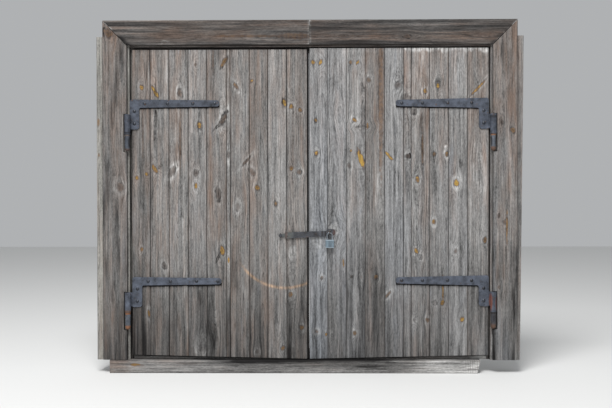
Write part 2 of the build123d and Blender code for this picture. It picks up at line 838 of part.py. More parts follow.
# Rivet: domed in front, flared into the back of the link
with BuildPart() as hasp_rivet:
    with BuildSketch(Plane.XY.offset(rivet_z)):
        with BuildLine():
            flare_start = link_back - rivet_flare
            Polyline(
                (rivet_x, bar_front - rivet_head_height), (rivet_x, link_back),
                (rivet_x + rivet_radius + rivet_flare, link_back),
                (rivet_x + rivet_radius, flare_start), (rivet_x + rivet_radius, bar_front),
                (rivet_x + rivet_head_radius, bar_front),
            )
            dome(rivet_x, bar_front, rivet_head_radius, rivet_head_height)
        make_face()
    revolve(axis=Axis((rivet_x, 0, rivet_z), (0, 1, 0)))
save(hasp_rivet, "hasp_rivet")

# Padlock: a rounded steel case with a band at each end, bored for shackle and cylinder
half_bow = shackle_spacing / 2
with BuildPart() as padlock_body:
    with BuildSketch(Plane.XY.offset(lock_bottom)):
        with Locations((lock_staple_x, shackle_y)):
            RectangleRounded(lock_width, lock_thickness, lock_corner)
    extrude(amount=lock_height)
    ends = padlock_body.faces().sort_by(Axis.Z)
    chamfer(ends[0].edges() + ends[-1].edges(), lock_edge_bevel)
    for height in (lock_bottom + lock_band, lock_top - lock_band - lock_band_groove):
        with BuildSketch(Plane.XY.offset(height)):
            with Locations((lock_staple_x, shackle_y)):
                Rectangle(2 * lock_width, 2 * lock_thickness)
                RectangleRounded(
                    lock_width - 2 * lock_band_groove, lock_thickness - 2 * lock_band_groove,
                    lock_corner - lock_band_groove, mode=Mode.SUBTRACT,
                )
        extrude(amount=lock_band_groove, mode=Mode.SUBTRACT)
    for offset, depth in ((-half_bow, toe_depth), (half_bow, heel_depth)):
        with BuildSketch(Plane.XY.offset(lock_top - depth - shackle_hole_clearance)):
            with Locations((lock_staple_x + offset, shackle_y)):
                Circle(shackle_radius + shackle_hole_clearance)
        extrude(amount=depth + shackle_hole_clearance, mode=Mode.SUBTRACT)
    with BuildSketch(Plane.XY.offset(lock_bottom)):
        with Locations((lock_staple_x, shackle_y)):
            Circle(cylinder_radius + cylinder_clearance)
    extrude(amount=cylinder_length, mode=Mode.SUBTRACT)
save(padlock_body, "padlock_body")

with BuildPart() as lock_cylinder:
    with BuildSketch(Plane.XY.offset(lock_bottom)):
        with Locations((lock_staple_x, shackle_y)):
            Circle(cylinder_radius)
    extrude(amount=cylinder_length)
    with BuildSketch(Plane.XY.offset(lock_bottom)):
        with Locations((lock_staple_x, shackle_y)):
            Rectangle(key_slot_width, key_slot_height)
    extrude(amount=key_slot_depth, mode=Mode.SUBTRACT)
save(lock_cylinder, "lock_cylinder")

# Shackle: a round bar bent to a bow, its heel deep in the case and its toe just caught
with BuildPart() as shackle:
    with BuildLine(Plane.XZ.offset(-shackle_y)) as bow:
        toe = (lock_staple_x - half_bow, lock_top - toe_depth)
        heel = (lock_staple_x + half_bow, lock_top - heel_depth)
        Line(toe, (toe[0], bow_z))
        ThreePointArc((toe[0], bow_z), (lock_staple_x, bow_z + half_bow), (heel[0], bow_z))
        Line((heel[0], bow_z), heel)
    with BuildSketch(Plane(origin=(toe[0], shackle_y, toe[1]), z_dir=(0, 0, 1))):
        Circle(shackle_radius)
    sweep(path=bow.wire())
save(shackle, "shackle")
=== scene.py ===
import math

import bpy
import numpy as np
from mathutils import Matrix, Vector


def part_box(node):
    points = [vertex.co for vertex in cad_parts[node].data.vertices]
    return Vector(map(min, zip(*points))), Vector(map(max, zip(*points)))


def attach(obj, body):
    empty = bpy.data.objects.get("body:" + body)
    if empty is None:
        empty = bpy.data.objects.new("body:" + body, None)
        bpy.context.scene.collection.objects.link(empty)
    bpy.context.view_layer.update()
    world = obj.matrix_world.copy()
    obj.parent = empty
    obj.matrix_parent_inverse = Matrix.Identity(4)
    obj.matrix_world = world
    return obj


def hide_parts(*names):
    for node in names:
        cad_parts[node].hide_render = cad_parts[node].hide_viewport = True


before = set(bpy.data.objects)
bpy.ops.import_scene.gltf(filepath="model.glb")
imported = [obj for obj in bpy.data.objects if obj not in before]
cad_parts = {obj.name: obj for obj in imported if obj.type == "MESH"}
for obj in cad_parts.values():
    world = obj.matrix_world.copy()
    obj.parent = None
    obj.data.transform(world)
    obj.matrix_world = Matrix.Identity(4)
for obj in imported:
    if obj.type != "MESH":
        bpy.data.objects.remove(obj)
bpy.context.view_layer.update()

# The view: the doorway is seen square on from breast height, under six metres away.
# The picture is 612 by 408 pixels, and its middle is the line of sight.
picture_width, picture_height = 612, 408
eye = np.array([0.0439, -5.741, 1.2463])
yaw, pitch, roll = -0.0121, -0.0105, -0.0014
focal_pixels = 810.85

ahead = np.array([
    math.sin(yaw) * math.cos(pitch), math.cos(yaw) * math.cos(pitch), math.sin(pitch)
])
level = np.array([math.cos(yaw), -math.sin(yaw), 0.0])
above = np.cross(level, ahead)
to_right = level * math.cos(roll) + above * math.sin(roll)
to_top = above * math.cos(roll) - level * math.sin(roll)


def stand(name, data):
    """Stands a new object in the scene."""
    thing = bpy.data.objects.new(name, data)
    bpy.context.scene.collection.objects.link(thing)
    return thing


camera_data = bpy.data.cameras.new("doorway_view")
camera_data.sensor_width = 36.0
camera_data.lens = focal_pixels * camera_data.sensor_width / picture_width
camera = stand("doorway_view", camera_data)
turn = Matrix([to_right, to_top, -ahead]).transposed().to_4x4()
camera.matrix_world = Matrix.Translation(Vector(eye)) @ turn
bpy.context.scene.camera = camera


def spot(px, py, y):
    """The X and Z where the line of sight through a pixel meets the upright plane at that Y."""
    ray = (
        ahead * focal_pixels
        + to_right * (px - picture_width / 2)
        - to_top * (py - picture_height / 2)
    )
    reach = (y - eye[1]) / ray[1]
    return eye[0] + ray[0] * reach, eye[2] + ray[2] * reach


# Sill: one squared softwood beam along the foot of the doorway, bleached and split by the
# rain. Its left end runs under the post; its right end was left at the slant of the saw.
column_step, row_step, back_columns = 0.003, 0.008, 8
cut_zone, squeeze, sharp_turn = 0.25, 0.006, math.radians(40)
ring_pitch, ring_ripple, knot_eye = 0.0062, 0.0012, 0.022
core_wander, depth_wander, least_depth = 0.03, 0.035, 0.004
grain_wear, knot_sink, deepest_share = 0.0010, 0.0008, 0.3
faint_knot, noise_depth = 0.45, 0.37


def lattice(a, b, seed):
    """Smooth chance field, 0 to 1: random numbers at the whole places of a and b, blended
    between the nearest four by 3 t squared less 2 t cubed."""
    table = np.random.default_rng(seed).random((256, 256))
    i, j = np.floor(a).astype(int), np.floor(b).astype(int)
    s, t = a - i, b - j
    s, t = s * s * (3 - 2 * s), t * t * (3 - 2 * t)
    low = table[i % 256, j % 256] * (1 - s) + table[(i + 1) % 256, j % 256] * s
    high = table[i % 256, (j + 1) % 256] * (1 - s) + table[(i + 1) % 256, (j + 1) % 256] * s
    return low * (1 - t) + high * t


def drift(a, b, seed, layers=4):
    """About -1 to 1: smooth fields added up, each twice as fine and half as strong."""
    return sum((lattice(a * 2**k, b * 2**k, seed + k) - 0.5) / 2**k for k in range(layers))


def ease(low, high, value):
    """0 below low, 1 above high, and 3 t squared less 2 t cubed between them."""
    t = np.clip((value - low) / (high - low), 0, 1)
    return t * t * (3 - 2 * t)


def bell(value, middle, half):
    """e to the minus square of the way from the middle, measured in half widths."""
    return np.exp(-(((value - middle) / half) ** 2))


def plank_surface(
    name, lie, wide, along, front, thick, seed, pith, slopes, stain,
    edges=None, bevel=0.0015, rows=None, low_side=(), high_side=(), knots=(),
):
    """A plank as one closed surface: the outline of its section, with a close-set face, is
    carried from end to end. Each row is shifted by an end's slope times the distance from
    the middle, and that shift fades to nothing over cut_zone. The face is lowered by worn
    grain, rounded edges and sunk knots. Growth rings are circles round a pith that wanders
    below the face, so the distance to it draws straight, arched or eye-shaped figure.
    wide and along are the two runs in metres, lie says which of them stands upright, and
    edges gives the two edges at each row; where an edge steps in, only the columns beside
    it are squeezed together. low_side and high_side are points down the two narrow sides,
    each a step outwards and a depth. pith is its place across, its depth, and how that
    changes along the plank. A knot is its place across and along, its half sizes, its
    lean, and how orange, dark and pale it is. stain adds the plank's own weather. In the
    arrays, a is the place across, b the place along and d the depth below the front."""
    if rows is None:
        rows = np.linspace(*along, int((along[1] - along[0]) / row_step) + 1)
    low, high = edges or (np.full_like(rows, wide[0]), np.full_like(rows, wide[1]))
    face = np.linspace(0, 1, int((wide[1] - wide[0]) / column_step) + 1)
    back = np.linspace(1, 0, back_columns)
    plain_side = ((0.0, thick * 0.35), (0.0, thick * 0.7))
    high_out, high_down = np.transpose(high_side or plain_side)
    low_out, low_down = np.transpose(low_side or plain_side[::-1])
    back_out = high_out[-1] * back + low_out[0] * (1 - back)
    share = np.concatenate([face, 0 * high_out + 1, back, 0 * low_out])
    shift = np.concatenate([0 * face, high_out, back_out, low_out])
    depth = np.concatenate([0 * face, high_down, 0 * back + thick, low_down])
    on_face = np.arange(len(share)) < len(face)
    a = wide[0] + share * (wide[1] - wide[0]) + 0 * rows[:, None]
    knee = (high - squeeze)[:, None]
    a = np.where(a > knee, knee + (a - knee) * squeeze / (wide[1] - knee), a)
    knee = (low + squeeze)[:, None]
    a = np.where(a < knee, knee - (knee - a) * squeeze / (knee - wide[0]), a) + shift
    middle = (wide[0] + wide[1]) / 2
    b = rows[:, None] + 0 * a
    for end, slope in zip(along, slopes):
        fade = 1 - ease(0, cut_zone, np.abs(rows - end))
        b = b + slope * (a - middle) * fade[:, None]
    d = depth + 0 * a

    # Knots push the grain aside and raise eyes in the rings
    grain, orange, dark, pale, sunk = a - middle, 0 * a, 0 * a, 0 * a, 0 * a
    core = pith[0] + core_wander * drift(b * 0.9, b * 0 + 3.1, seed + 11)
    deep = pith[1] + pith[2] * (b - b.mean())
    deep = deep + depth_wander * drift(b * 0.7, b * 0 + 7.7, seed + 17)
    ring = np.hypot(a - middle - core, np.abs(deep) + least_depth + d)
    ring = ring + ring_ripple * drift(a * 30, b * 3, seed + 23)
    for ka, kb, half_wide, half_long, lean, k_orange, k_dark, k_pale in knots:
        da, db = a - ka, b - kb
        turn_a = da * math.cos(lean) + db * math.sin(lean)
        turn_b = db * math.cos(lean) - da * math.sin(lean)
        rough = 0.55 * drift(a * 70 + ka, b * 50, seed + 31, 3)
        rim = np.hypot(turn_a / half_wide, turn_b / half_long) + rough
        swirl = np.exp(-(da / (2.6 * half_wide)) ** 2 - (db / (2.6 * half_long + 0.02)) ** 2)
        grain = grain - da * 0.8 * swirl
        ring = ring + knot_eye * swirl
        body = 1 - ease(0.75, 1.2, rim)
        broken = 0.35 + 0.95 * lattice(a * 130 + kb, b * 60, seed + 37)
        heart = 0.6 * bell(rim, 0, 0.4) + 1.2 * broken * bell(rim, 1.2, 0.32)
        orange = np.maximum(orange, k_orange * body)
        black = np.minimum(1, body * 0.40 + 0.85 * heart) * (k_orange + k_dark > faint_knot)
        dark = np.maximum(dark, (0.30 + k_dark) * black)
        halo = bell(rim, 1.7, 0.8) * (1 - body) if k_orange + k_dark else body
        frayed = 0.35 + 0.9 * lattice(a * 90 + kb, b * 35, seed + 39)
        pale = np.maximum(pale, k_pale * halo * frayed)
        sunk = sunk + knot_sink * bell(rim, 1.1, 0.3)
    worn = grain_wear * (0.5 + drift(grain * 90, b * 2.2, seed + 41, 3))
    worn = worn + grain_wear * lattice(a * 9, b * 3, seed + 47)
    nearest = np.minimum(a - low[:, None], high[:, None] - a)
    chipped = bevel * (0.7 + 1.1 * lattice(b * 28, a * 4, seed + 53))
    rounded = chipped * np.exp(-np.clip(nearest, 0, 1) / (0.9 * column_step))
    d = d + on_face * np.clip(worn + rounded + sunk, 0, deepest_share * thick)
    tone = {kind: 0 * a for kind in ("brown", "dark", "blue", "scored")}
    tone, orange, dark, pale = stain(a, b, nearest, tone, orange, dark, pale)

    upright = lie == "upright"
    points = np.stack([a if upright else b, front + d, b if upright else a], -1).reshape(-1, 3)
    index = np.arange(a.size).reshape(a.shape)
    this_row, next_row = index[:-1], index[1:]
    quads = np.stack([
        this_row, np.roll(this_row, -1, 1), np.roll(next_row, -1, 1), next_row
    ], -1).reshape(-1, 4)
    faces = quads.tolist() + [index[0][::-1].tolist(), index[-1].tolist()]
    if not upright:
        faces = [f[::-1] for f in faces]
    mesh = bpy.data.meshes.new(name)
    mesh.from_pydata(points, [], faces)
    mesh.materials.append(plank_finish)
    mesh.polygons.foreach_set("use_smooth", np.ones(len(mesh.polygons), bool))
    mesh.set_sharp_from_angle(angle=sharp_turn)
    carry(mesh, "grain", np.stack([grain + shift, b, d + noise_depth * seed], -1))
    carry(mesh, "figure", ring)
    carry(mesh, "marks", np.stack([orange, dark, pale], -1))
    carry(mesh, "tone", np.stack([tone["brown"], tone["dark"], tone["blue"]], -1))
    carry(mesh, "scored", tone["scored"] * on_face)
    return stand(name, mesh)


def carry(mesh, name, values):
    """Lays one number or three on every point of a mesh, under a name that a finish reads."""
    three = values.ndim == 3
    layer = mesh.attributes.new(name, "FLOAT_VECTOR" if three else "FLOAT", "POINT")
    layer.data.foreach_set("vector" if three else "value", values.astype(np.float32).ravel())


def new_finish(name):
    """A material, its tree of nodes, and the surface shader that stands in the tree."""
    material = bpy.data.materials.new(name)
    material.use_nodes = True
    tree = material.node_tree
    return material, tree, tree.nodes["Principled BSDF"]


def feed(tree, value, socket):
    """Joins another node's socket to this one, or sets it to a number, place or colour."""
    if isinstance(value, bpy.types.NodeSocket):
        tree.links.new(value, socket)
    else:
        socket.default_value = (*value, 1.0) if socket.type == "RGBA" else value


def put(tree, kind, *inputs, **settings):
    """Adds a node and feeds its inputs in the node's own order."""
    node = tree.nodes.new("ShaderNode" + kind)
    for key, value in settings.items():
        setattr(node, key, value)
    for socket, value in zip(node.inputs, inputs):
        feed(tree, value, socket)
    return node


def reckon(tree, operation, *inputs, clamp=False):
    """One step of arithmetic on numbers."""
    return put(tree, "Math", *inputs, operation=operation, use_clamp=clamp).outputs[0]


def times(tree, first, second, clamp=False):
    """The product of two numbers."""
    return reckon(tree, "MULTIPLY", first, second, clamp=clamp)


def blend(tree, share, first, second, kind="MIX"):
    """From one colour to another by a share, or their product where kind is MULTIPLY."""
    node = put(tree, "Mix", share, data_type="RGBA", blend_type=kind, clamp_factor=True)
    feed(tree, first, node.inputs[6])
    feed(tree, second, node.inputs[7])
    return node.outputs[2]


def cloud(tree, where, stretch, detail, rough=0.6):
    """Fractal noise from 0 to 1, its place stretched along the three axes."""
    scaled = put(tree, "VectorMath", where, stretch, operation="MULTIPLY").outputs[0]
    noise = put(tree, "TexNoise", scaled)
    for socket, value in (("Scale", 1.0), ("Detail", detail), ("Roughness", rough)):
        noise.inputs[socket].default_value = value
    return noise.outputs[0]


def ramp(tree, value, low, high, out_low=0.0, out_high=1.0):
    """Carries the run from low to high over to another run, and stops at its ends."""
    return put(tree, "MapRange", value, low, high, out_low, out_high, clamp=True).outputs[0]


def near_any(tree, where, places, ragged):
    """The most that any place gives a point: a place's strength inside an ellipsoid about it
    and nothing outside, its border moved in and out by a chance field."""
    most = 0.0
    for middle, half, strength in places:
        away = put(tree, "VectorMath", where, middle, operation="SUBTRACT").outputs[0]
        away = put(tree, "VectorMath", away, half, operation="DIVIDE").outputs[0]
        reach = put(tree, "VectorMath", away, operation="LENGTH").outputs["Value"]
        reach = reckon(tree, "ADD", reach, ragged)
        most = reckon(tree, "MAXIMUM", ramp(tree, reach, 1.2, 0.8, 0.0, strength), most)
    return most


def sway(tree, base, *fields):
    """Adds to a base each chance field's way from its middle, one half, times a weight."""
    for field, weight in fields:
        off_middle = reckon(tree, "SUBTRACT", field, 0.5)
        base = reckon(tree, "MULTIPLY_ADD", off_middle, weight, base)
    return base


def shaded(tree, colour, light):
    """A colour times one number."""
    shade = put(tree, "CombineXYZ", light, light, light).outputs[0]
    return blend(tree, 1.0, colour, shade, "MULTIPLY")


def emboss(tree, shader, height, strength, distance):
    """Raises and sinks the look of a surface by a height field, distance in metres."""
    bump = put(tree, "Bump")
    bump.inputs["Strength"].default_value = strength
    bump.inputs["Distance"].default_value = distance
    tree.links.new(height, bump.inputs["Height"])
    tree.links.new(bump.outputs[0], shader.inputs["Normal"])


def carried(tree, name, output):
    """What a mesh carries under a name, as one number (Fac) or three (Vector)."""
    return put(tree, "Attribute", attribute_name=name).outputs[output]


silver = (0.262, 0.254, 0.247)
umber = (0.158, 0.116, 0.094)
slate = (0.240, 0.256, 0.280)
# Near black, for dirt, cracks and painted shade.
near_black = (0.011, 0.010, 0.010)
ochre = (0.290, 0.168, 0.062)
resin_brown = (0.110, 0.052, 0.028)
amber = (0.470, 0.300, 0.075)
bleached = (0.560, 0.552, 0.540)
scored_tan = (0.500, 0.345, 0.235)
ring_shade, crack_shade, least_light, most_dark = 0.46, 0.60, 0.18, 0.99


def wood_finish(
    name, run=None, grey=silver, brown=umber, brownness=0.0, darkness=0.0, seed=0.0,
    painted_shade=None, pale_places=(), ochre_places=(),
):
    """Weathered softwood: silver grey over brown, streaked by long noise along the grain,
    with dark growth rings, fine drying cracks, and the orange, dark and pale marks that a
    plank carries. run is the axis of the grain on a timber that carries no marks: its rings
    are worked out from its place, and its marks are given as places."""
    material, tree, shader = new_finish(name)
    if run is None:
        where, marks, tone = (carried(tree, kind, "Vector") for kind in ("grain", "marks", "tone"))
        figure, scored = (carried(tree, kind, "Fac") for kind in ("figure", "scored"))
        orange, dark, pale = put(tree, "SeparateXYZ", marks).outputs
        more_brown, more_dark, blue = put(tree, "SeparateXYZ", tone).outputs
    else:
        spot_of = put(tree, "TexCoord").outputs["Object"]
        place = put(tree, "SeparateXYZ", spot_of).outputs
        across, length = (place[0], place[2]) if run == "Z" else (place[2], place[0])
        deep = reckon(tree, "ADD", place[1], seed)
        where = put(tree, "CombineXYZ", across, length, deep).outputs[0]
        wander = cloud(tree, where, (3.0, 0.8, 3.0), 2.0)
        wide = reckon(tree, "MULTIPLY_ADD", wander, 0.16, across)
        square = reckon(tree, "MULTIPLY_ADD", wide, wide, times(tree, deep, deep))
        figure = reckon(tree, "SQRT", square)
    fibre = cloud(tree, where, (420.0, 14.0, 420.0), 3.0, 0.65)
    fleck = cloud(tree, where, (210.0, 55.0, 210.0), 3.0)
    mottle = cloud(tree, where, (62.0, 12.0, 62.0), 3.0)
    streak = cloud(tree, where, (105.0, 1.9, 105.0), 4.0, 0.66)
    band = cloud(tree, where, (34.0, 1.1, 34.0), 3.0)
    blotch = cloud(tree, where, (15.0, 3.6, 15.0), 5.0, 0.68)

    wavy = reckon(tree, "MULTIPLY_ADD", streak, 0.0016, figure)
    turn_of_ring = reckon(tree, "FRACT", reckon(tree, "DIVIDE", wavy, ring_pitch))
    late = reckon(tree, "POWER", turn_of_ring, 3.0)
    late = times(tree, late, ramp(tree, band, 0.38, 0.60, 0.25, 1.0))
    slit = reckon(tree, "SUBTRACT", cloud(tree, where, (75.0, 1.3, 75.0), 2.0, 0.5), 0.5)
    slit = ramp(tree, reckon(tree, "ABSOLUTE", slit), 0.0, 0.022, 1.0, 0.0)
    crack = times(tree, slit, ramp(tree, blotch, 0.42, 0.60))

    if run is not None:
        ragged = reckon(tree, "MULTIPLY_ADD", streak, 1.2, -0.6)
        orange = near_any(tree, spot_of, ochre_places, ragged)
        pale = near_any(tree, spot_of, pale_places, ragged)
        # Timbers that are given one take their painted shade here.
        dark = painted_shade(tree, place) if painted_shade else 0.0
        more_brown, more_dark, blue, scored = 0.0, darkness, 0.0, 0.0

    warm = sway(tree, brownness, (blotch, 1.9), (band, 1.6))
    warm = reckon(tree, "ADD", warm, more_brown, clamp=True)
    colour = blend(tree, blue, blend(tree, warm, grey, brown), slate)
    pale = times(tree, pale, ramp(tree, streak, 0.38, 0.58, 0.35, 1.1), clamp=True)
    colour = blend(tree, pale, colour, bleached)
    colour = blend(tree, scored, colour, scored_tan)
    light = sway(tree, 1.0, (streak, 1.5), (fibre, 1.5), (fleck, 1.3), (mottle, 0.65))
    light = sway(tree, light, (band, 2.2), (blotch, 1.1))
    light = reckon(tree, "MULTIPLY_ADD", late, -ring_shade, light)
    colour = shaded(tree, colour, reckon(tree, "MAXIMUM", light, least_light))
    orange = times(tree, orange, ramp(tree, fleck, 0.32, 0.56, 0.60, 1.15))
    resin = blend(tree, ramp(tree, orange, 0.25, 0.65), resin_brown, ochre)
    resin = blend(tree, ramp(tree, orange, 0.66, 0.90), resin, amber)
    colour = blend(tree, ramp(tree, orange, 0.03, 0.68), colour, resin)
    # The dark tone holds dirt and also painted shade; both blend towards near black.
    dirt_and_shade = times(tree, more_dark, ramp(tree, band, 0.38, 0.62, 1.28, 0.72))
    dark = times(tree, dark, ramp(tree, streak, 0.38, 0.58, 1.15, 0.55))
    dark = reckon(tree, "MINIMUM", reckon(tree, "MAXIMUM", dark, dirt_and_shade), most_dark)
    colour = blend(tree, dark, colour, near_black)
    colour = blend(tree, times(tree, crack, crack_shade), colour, near_black)
    tree.links.new(colour, shader.inputs["Base Color"])

    height = reckon(tree, "MULTIPLY_ADD", late, 0.7, fibre)
    emboss(tree, shader, reckon(tree, "MULTIPLY_ADD", crack, -1.6, height), 0.8, 0.0013)
    shader.inputs["Roughness"].default_value = 0.88
    shader.inputs["Specular IOR Level"].default_value = 0.2
    return material


saw_cut_run, tooth_pitch, sill_rows, sill_chance = 0.021, 0.016, 650, 501
sill_low, sill_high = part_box("sill_beam")
sill_run = (sill_low.x, sill_high.x - saw_cut_run / 2)
resin_spot, resin_half = spot(135.8, 364.8, sill_low.y), (0.055, 0.011)
# Where each change along the sill sets in, and where it is complete
covered_end, sawn_end = (-1.22, -1.31), (1.06, 1.10)
left_shade, right_shade = (-1.05, -0.45), (0.68, 0.38)
darkened_top_run, bleached_run = (0.86, 0.66), (0.55, 0.95)


def sill_stain(a, b, nearest, tone, orange, dark, pale):
    """Brown at the covered left end, with a spot of resin beside it; pale where the rain
    beats, and paler still at the sawn end, which keeps the upright marks of the saw."""
    up = (a - sill_low.z) / (sill_high.z - sill_low.z)
    shade = 0.30 + 0.70 * ease(*left_shade, b) * ease(*right_shade, b)
    tone["brown"] = 0.02 + 0.25 * drift(a * 12, b * 1.5, sill_chance) + 0.60 * ease(*covered_end, b)
    tone["dark"] = 0.30 * ease(0.05, 0.5, drift(a * 22, b * 3.5, sill_chance + 6))
    tone["dark"] = tone["dark"] + 0.35 * ease(0.006, 0.0, nearest)
    # Darker towards the top of the face, most along the middle of the sill.
    tone["dark"] = tone["dark"] + ease(*darkened_top_run, b) * shade * 0.80 * ease(0.05, 1.0, up)
    sawn = ease(*sawn_end, b)
    teeth = sawn * ease(0.1, 0.9, np.sin(b * 2 * math.pi / tooth_pitch + 9 * a))
    pale = np.maximum(pale, 0.10 + 0.70 * ease(*bleached_run, b) + 0.20 * sawn)
    pale = pale * (1 - 0.6 * teeth)
    resin = np.hypot((b - resin_spot[0]) / resin_half[0], (a - resin_spot[1]) / resin_half[1])
    resin = resin + 0.5 * drift(b * 30, a * 60, sill_chance + 10)
    orange = np.maximum(orange, 0.62 * ease(1.2, 0.6, resin))
    return tone, orange, dark, pale


plank_finish = wood_finish("weathered_plank")
sill = plank_surface(
    "sill", "level", (sill_low.z, sill_high.z), sill_run, sill_low.y,
    sill_high.y - sill_low.y, 3, pith=(0.01, 0.05, 0.008),
    slopes=(0, saw_cut_run / (sill_high.z - sill_low.z)), stain=sill_stain, bevel=0.004,
    rows=np.linspace(*sill_run, sill_rows),
)
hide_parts("sill_beam")
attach(sill, "frame")

# Threshold, jamb posts and head beam: sawn timbers tenoned and housed together. What the
# rain doesn't reach is brown, and the rebates round the leaves have painted black shade.
leaf_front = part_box("left_board_1")[0].y
stop_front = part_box("threshold")[0].y
casing_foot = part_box("left_head_casing")[0].z
casing_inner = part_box("right_casing")[0].x
meeting_foot, hinge_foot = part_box("left_board_10")[0].z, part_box("left_board_1")[0].z
outer_board_width, shade_fade = 0.14, 0.004


def dress(node, finish):
    """Gives a fixed node its finish in place of the plain one."""
    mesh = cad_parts[node].data
    mesh.materials.clear()
    mesh.materials.append(finish)


def rebate_painted_shade(tree, place):
    """Painted shade: black from just behind the leaves' faces to the front of the stops, where the
    rebate lies in shade; and darker on the strip beside the casing, more of it high up;
    nothing outside the casing's inner edge."""
    aside = reckon(tree, "ABSOLUTE", place[0])
    inside = ramp(tree, aside, casing_inner + shade_fade, casing_inner - shade_fade)
    behind = ramp(tree, place[1], leaf_front + 0.001, leaf_front + 0.005)
    before = ramp(tree, place[1], stop_front + 0.003, stop_front + 0.001, 0.0, 0.90)
    beside = ramp(tree, place[2], 0.9, 1.9, 0.18, 0.40)
    # Painted shade: black inside the rebate.
    black = times(tree, behind, before)
    return times(tree, inside, reckon(tree, "MAXIMUM", black, beside))


def eaves_painted_shade(tree, place):
    """The rebate's painted shade below the head casing, and a painted black shadow in the corner
    close under it.
    """
    front = ramp(tree, place[1], leaf_front + 0.006, leaf_front + 0.003)
    corner = ramp(tree, place[2], casing_foot - 0.011, casing_foot - 0.007, 0.0, 0.85)
    corner = times(tree, front, corner)
    below = ramp(tree, place[2], casing_foot + shade_fade, casing_foot - shade_fade)
    below = times(tree, below, rebate_painted_shade(tree, place))
    return reckon(tree, "MAXIMUM", corner, below)


def foot_painted_shadow(tree, place):
    """Painted shadow: black close under the sloping feet of the leaves, whose height falls with
    the way from the hinges to the middle; it fades out behind the leaves."""
    slope = (hinge_foot - meeting_foot) / (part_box("right_board_10")[1].x - outer_board_width)
    rise = reckon(tree, "MULTIPLY_ADD", reckon(tree, "ABSOLUTE", place[0]), -slope, place[2])
    black = ramp(tree, rise, meeting_foot - 0.017, meeting_foot - 0.011, 0.0, 0.95)
    near = ramp(tree, place[1], stop_front + 0.030, stop_front + 0.004)
    return times(tree, black, near)


def post_spot(px, py, half_wide, half_high, strength):
    """A mark on the front of a post at a pixel of the picture, its half sizes in millimetres."""
    x, z = spot(px, py, leaf_front)
    return (x, leaf_front, z), (half_wide / 1000, 0.02, half_high / 1000), strength


left_post_resin = [post_spot(98.5, 122.5, 9, 30, 0.45), post_spot(99, 155, 8, 14, 0.4)]
right_post_bleach = [post_spot(493.2, 343, 13, 100, 0.8)]
tenon_bleach = [((1.20, stop_front, 0.10), (0.07, 0.03, 0.02), 0.7)]
# Painted shade on the threshold, head beam and posts: black under the leaves' feet, in the rebates
# and close under the head casing.
dress("threshold", wood_finish(
    "threshold_timber", "X", darkness=0.08, seed=0.9, painted_shade=foot_painted_shadow, pale_places=tenon_bleach,
))
dress("head_beam", wood_finish(
    "head_timber", "X", brownness=0.55, darkness=0.15, seed=0.4, painted_shade=eaves_painted_shade,
))
dress("left_jamb_post", wood_finish(
    "left_post_timber", "Z", grey=(0.300, 0.290, 0.268), seed=0.3, painted_shade=rebate_painted_shade,
    ochre_places=left_post_resin,
))
dress("right_jamb_post", wood_finish(
    "right_post_timber", "Z", brownness=0.20, darkness=0.10, seed=0.6, painted_shade=rebate_painted_shade,
    pale_places=right_post_bleach,
))

# Casings: sawn boards nailed flat on the posts and the head, mitred at the corners and
# notched round the hinge barrels. The head is in two lengths that meet in the middle.
pin_short, notch_clearance, notch_slant = 0.006, 0.004, 0.0006
mitre_opening = 0.005


def on_casing(px, py, half_wide, half_long, lean, orange, dark, pale=0.0, upright=True):
    """A knot on the casing's face at a pixel of the picture, its sizes in millimetres."""
    x, z = spot(px, py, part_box("left_casing")[0].y)
    place = (x, z) if upright else (z, x)
    return (*place, half_wide / 1000, half_long / 1000, lean, orange, dark, pale)


def casing_stain(warmth, sootiness, seed):
    """Brown under the eaves and greyer lower down, with painted shade along the inner and outer
    edges.
    """
    def stain(a, b, nearest, tone, orange, dark, pale):
        up = ease(0.4, 2.2, b)
        tone["brown"] = warmth - 0.16 + 0.34 * up + 0.5 * drift(a * 12, b * 1.6, seed)
        damp = 0.44 * ease(1.0, 0.2, b)
        patches = 0.60 * ease(0.0, 0.8, drift(a * 26, b * 3.6, seed + 3))
        # Painted shade along both edges.
        tone["dark"] = sootiness + damp + patches + 0.6 * ease(0.004, 0.0, nearest)
        tone["blue"] = 0.7 * ease(-0.2, 0.6, drift(a * 8, b * 1.2, seed + 7)) * (1 - up)
        pale = np.maximum(pale, 0.40 * ease(0.2, 0.8, drift(a * 26, b * 3.0, seed + 9)))
        return tone, orange, dark, pale
    return stain


sides = (("left", -1), ("right", 1))
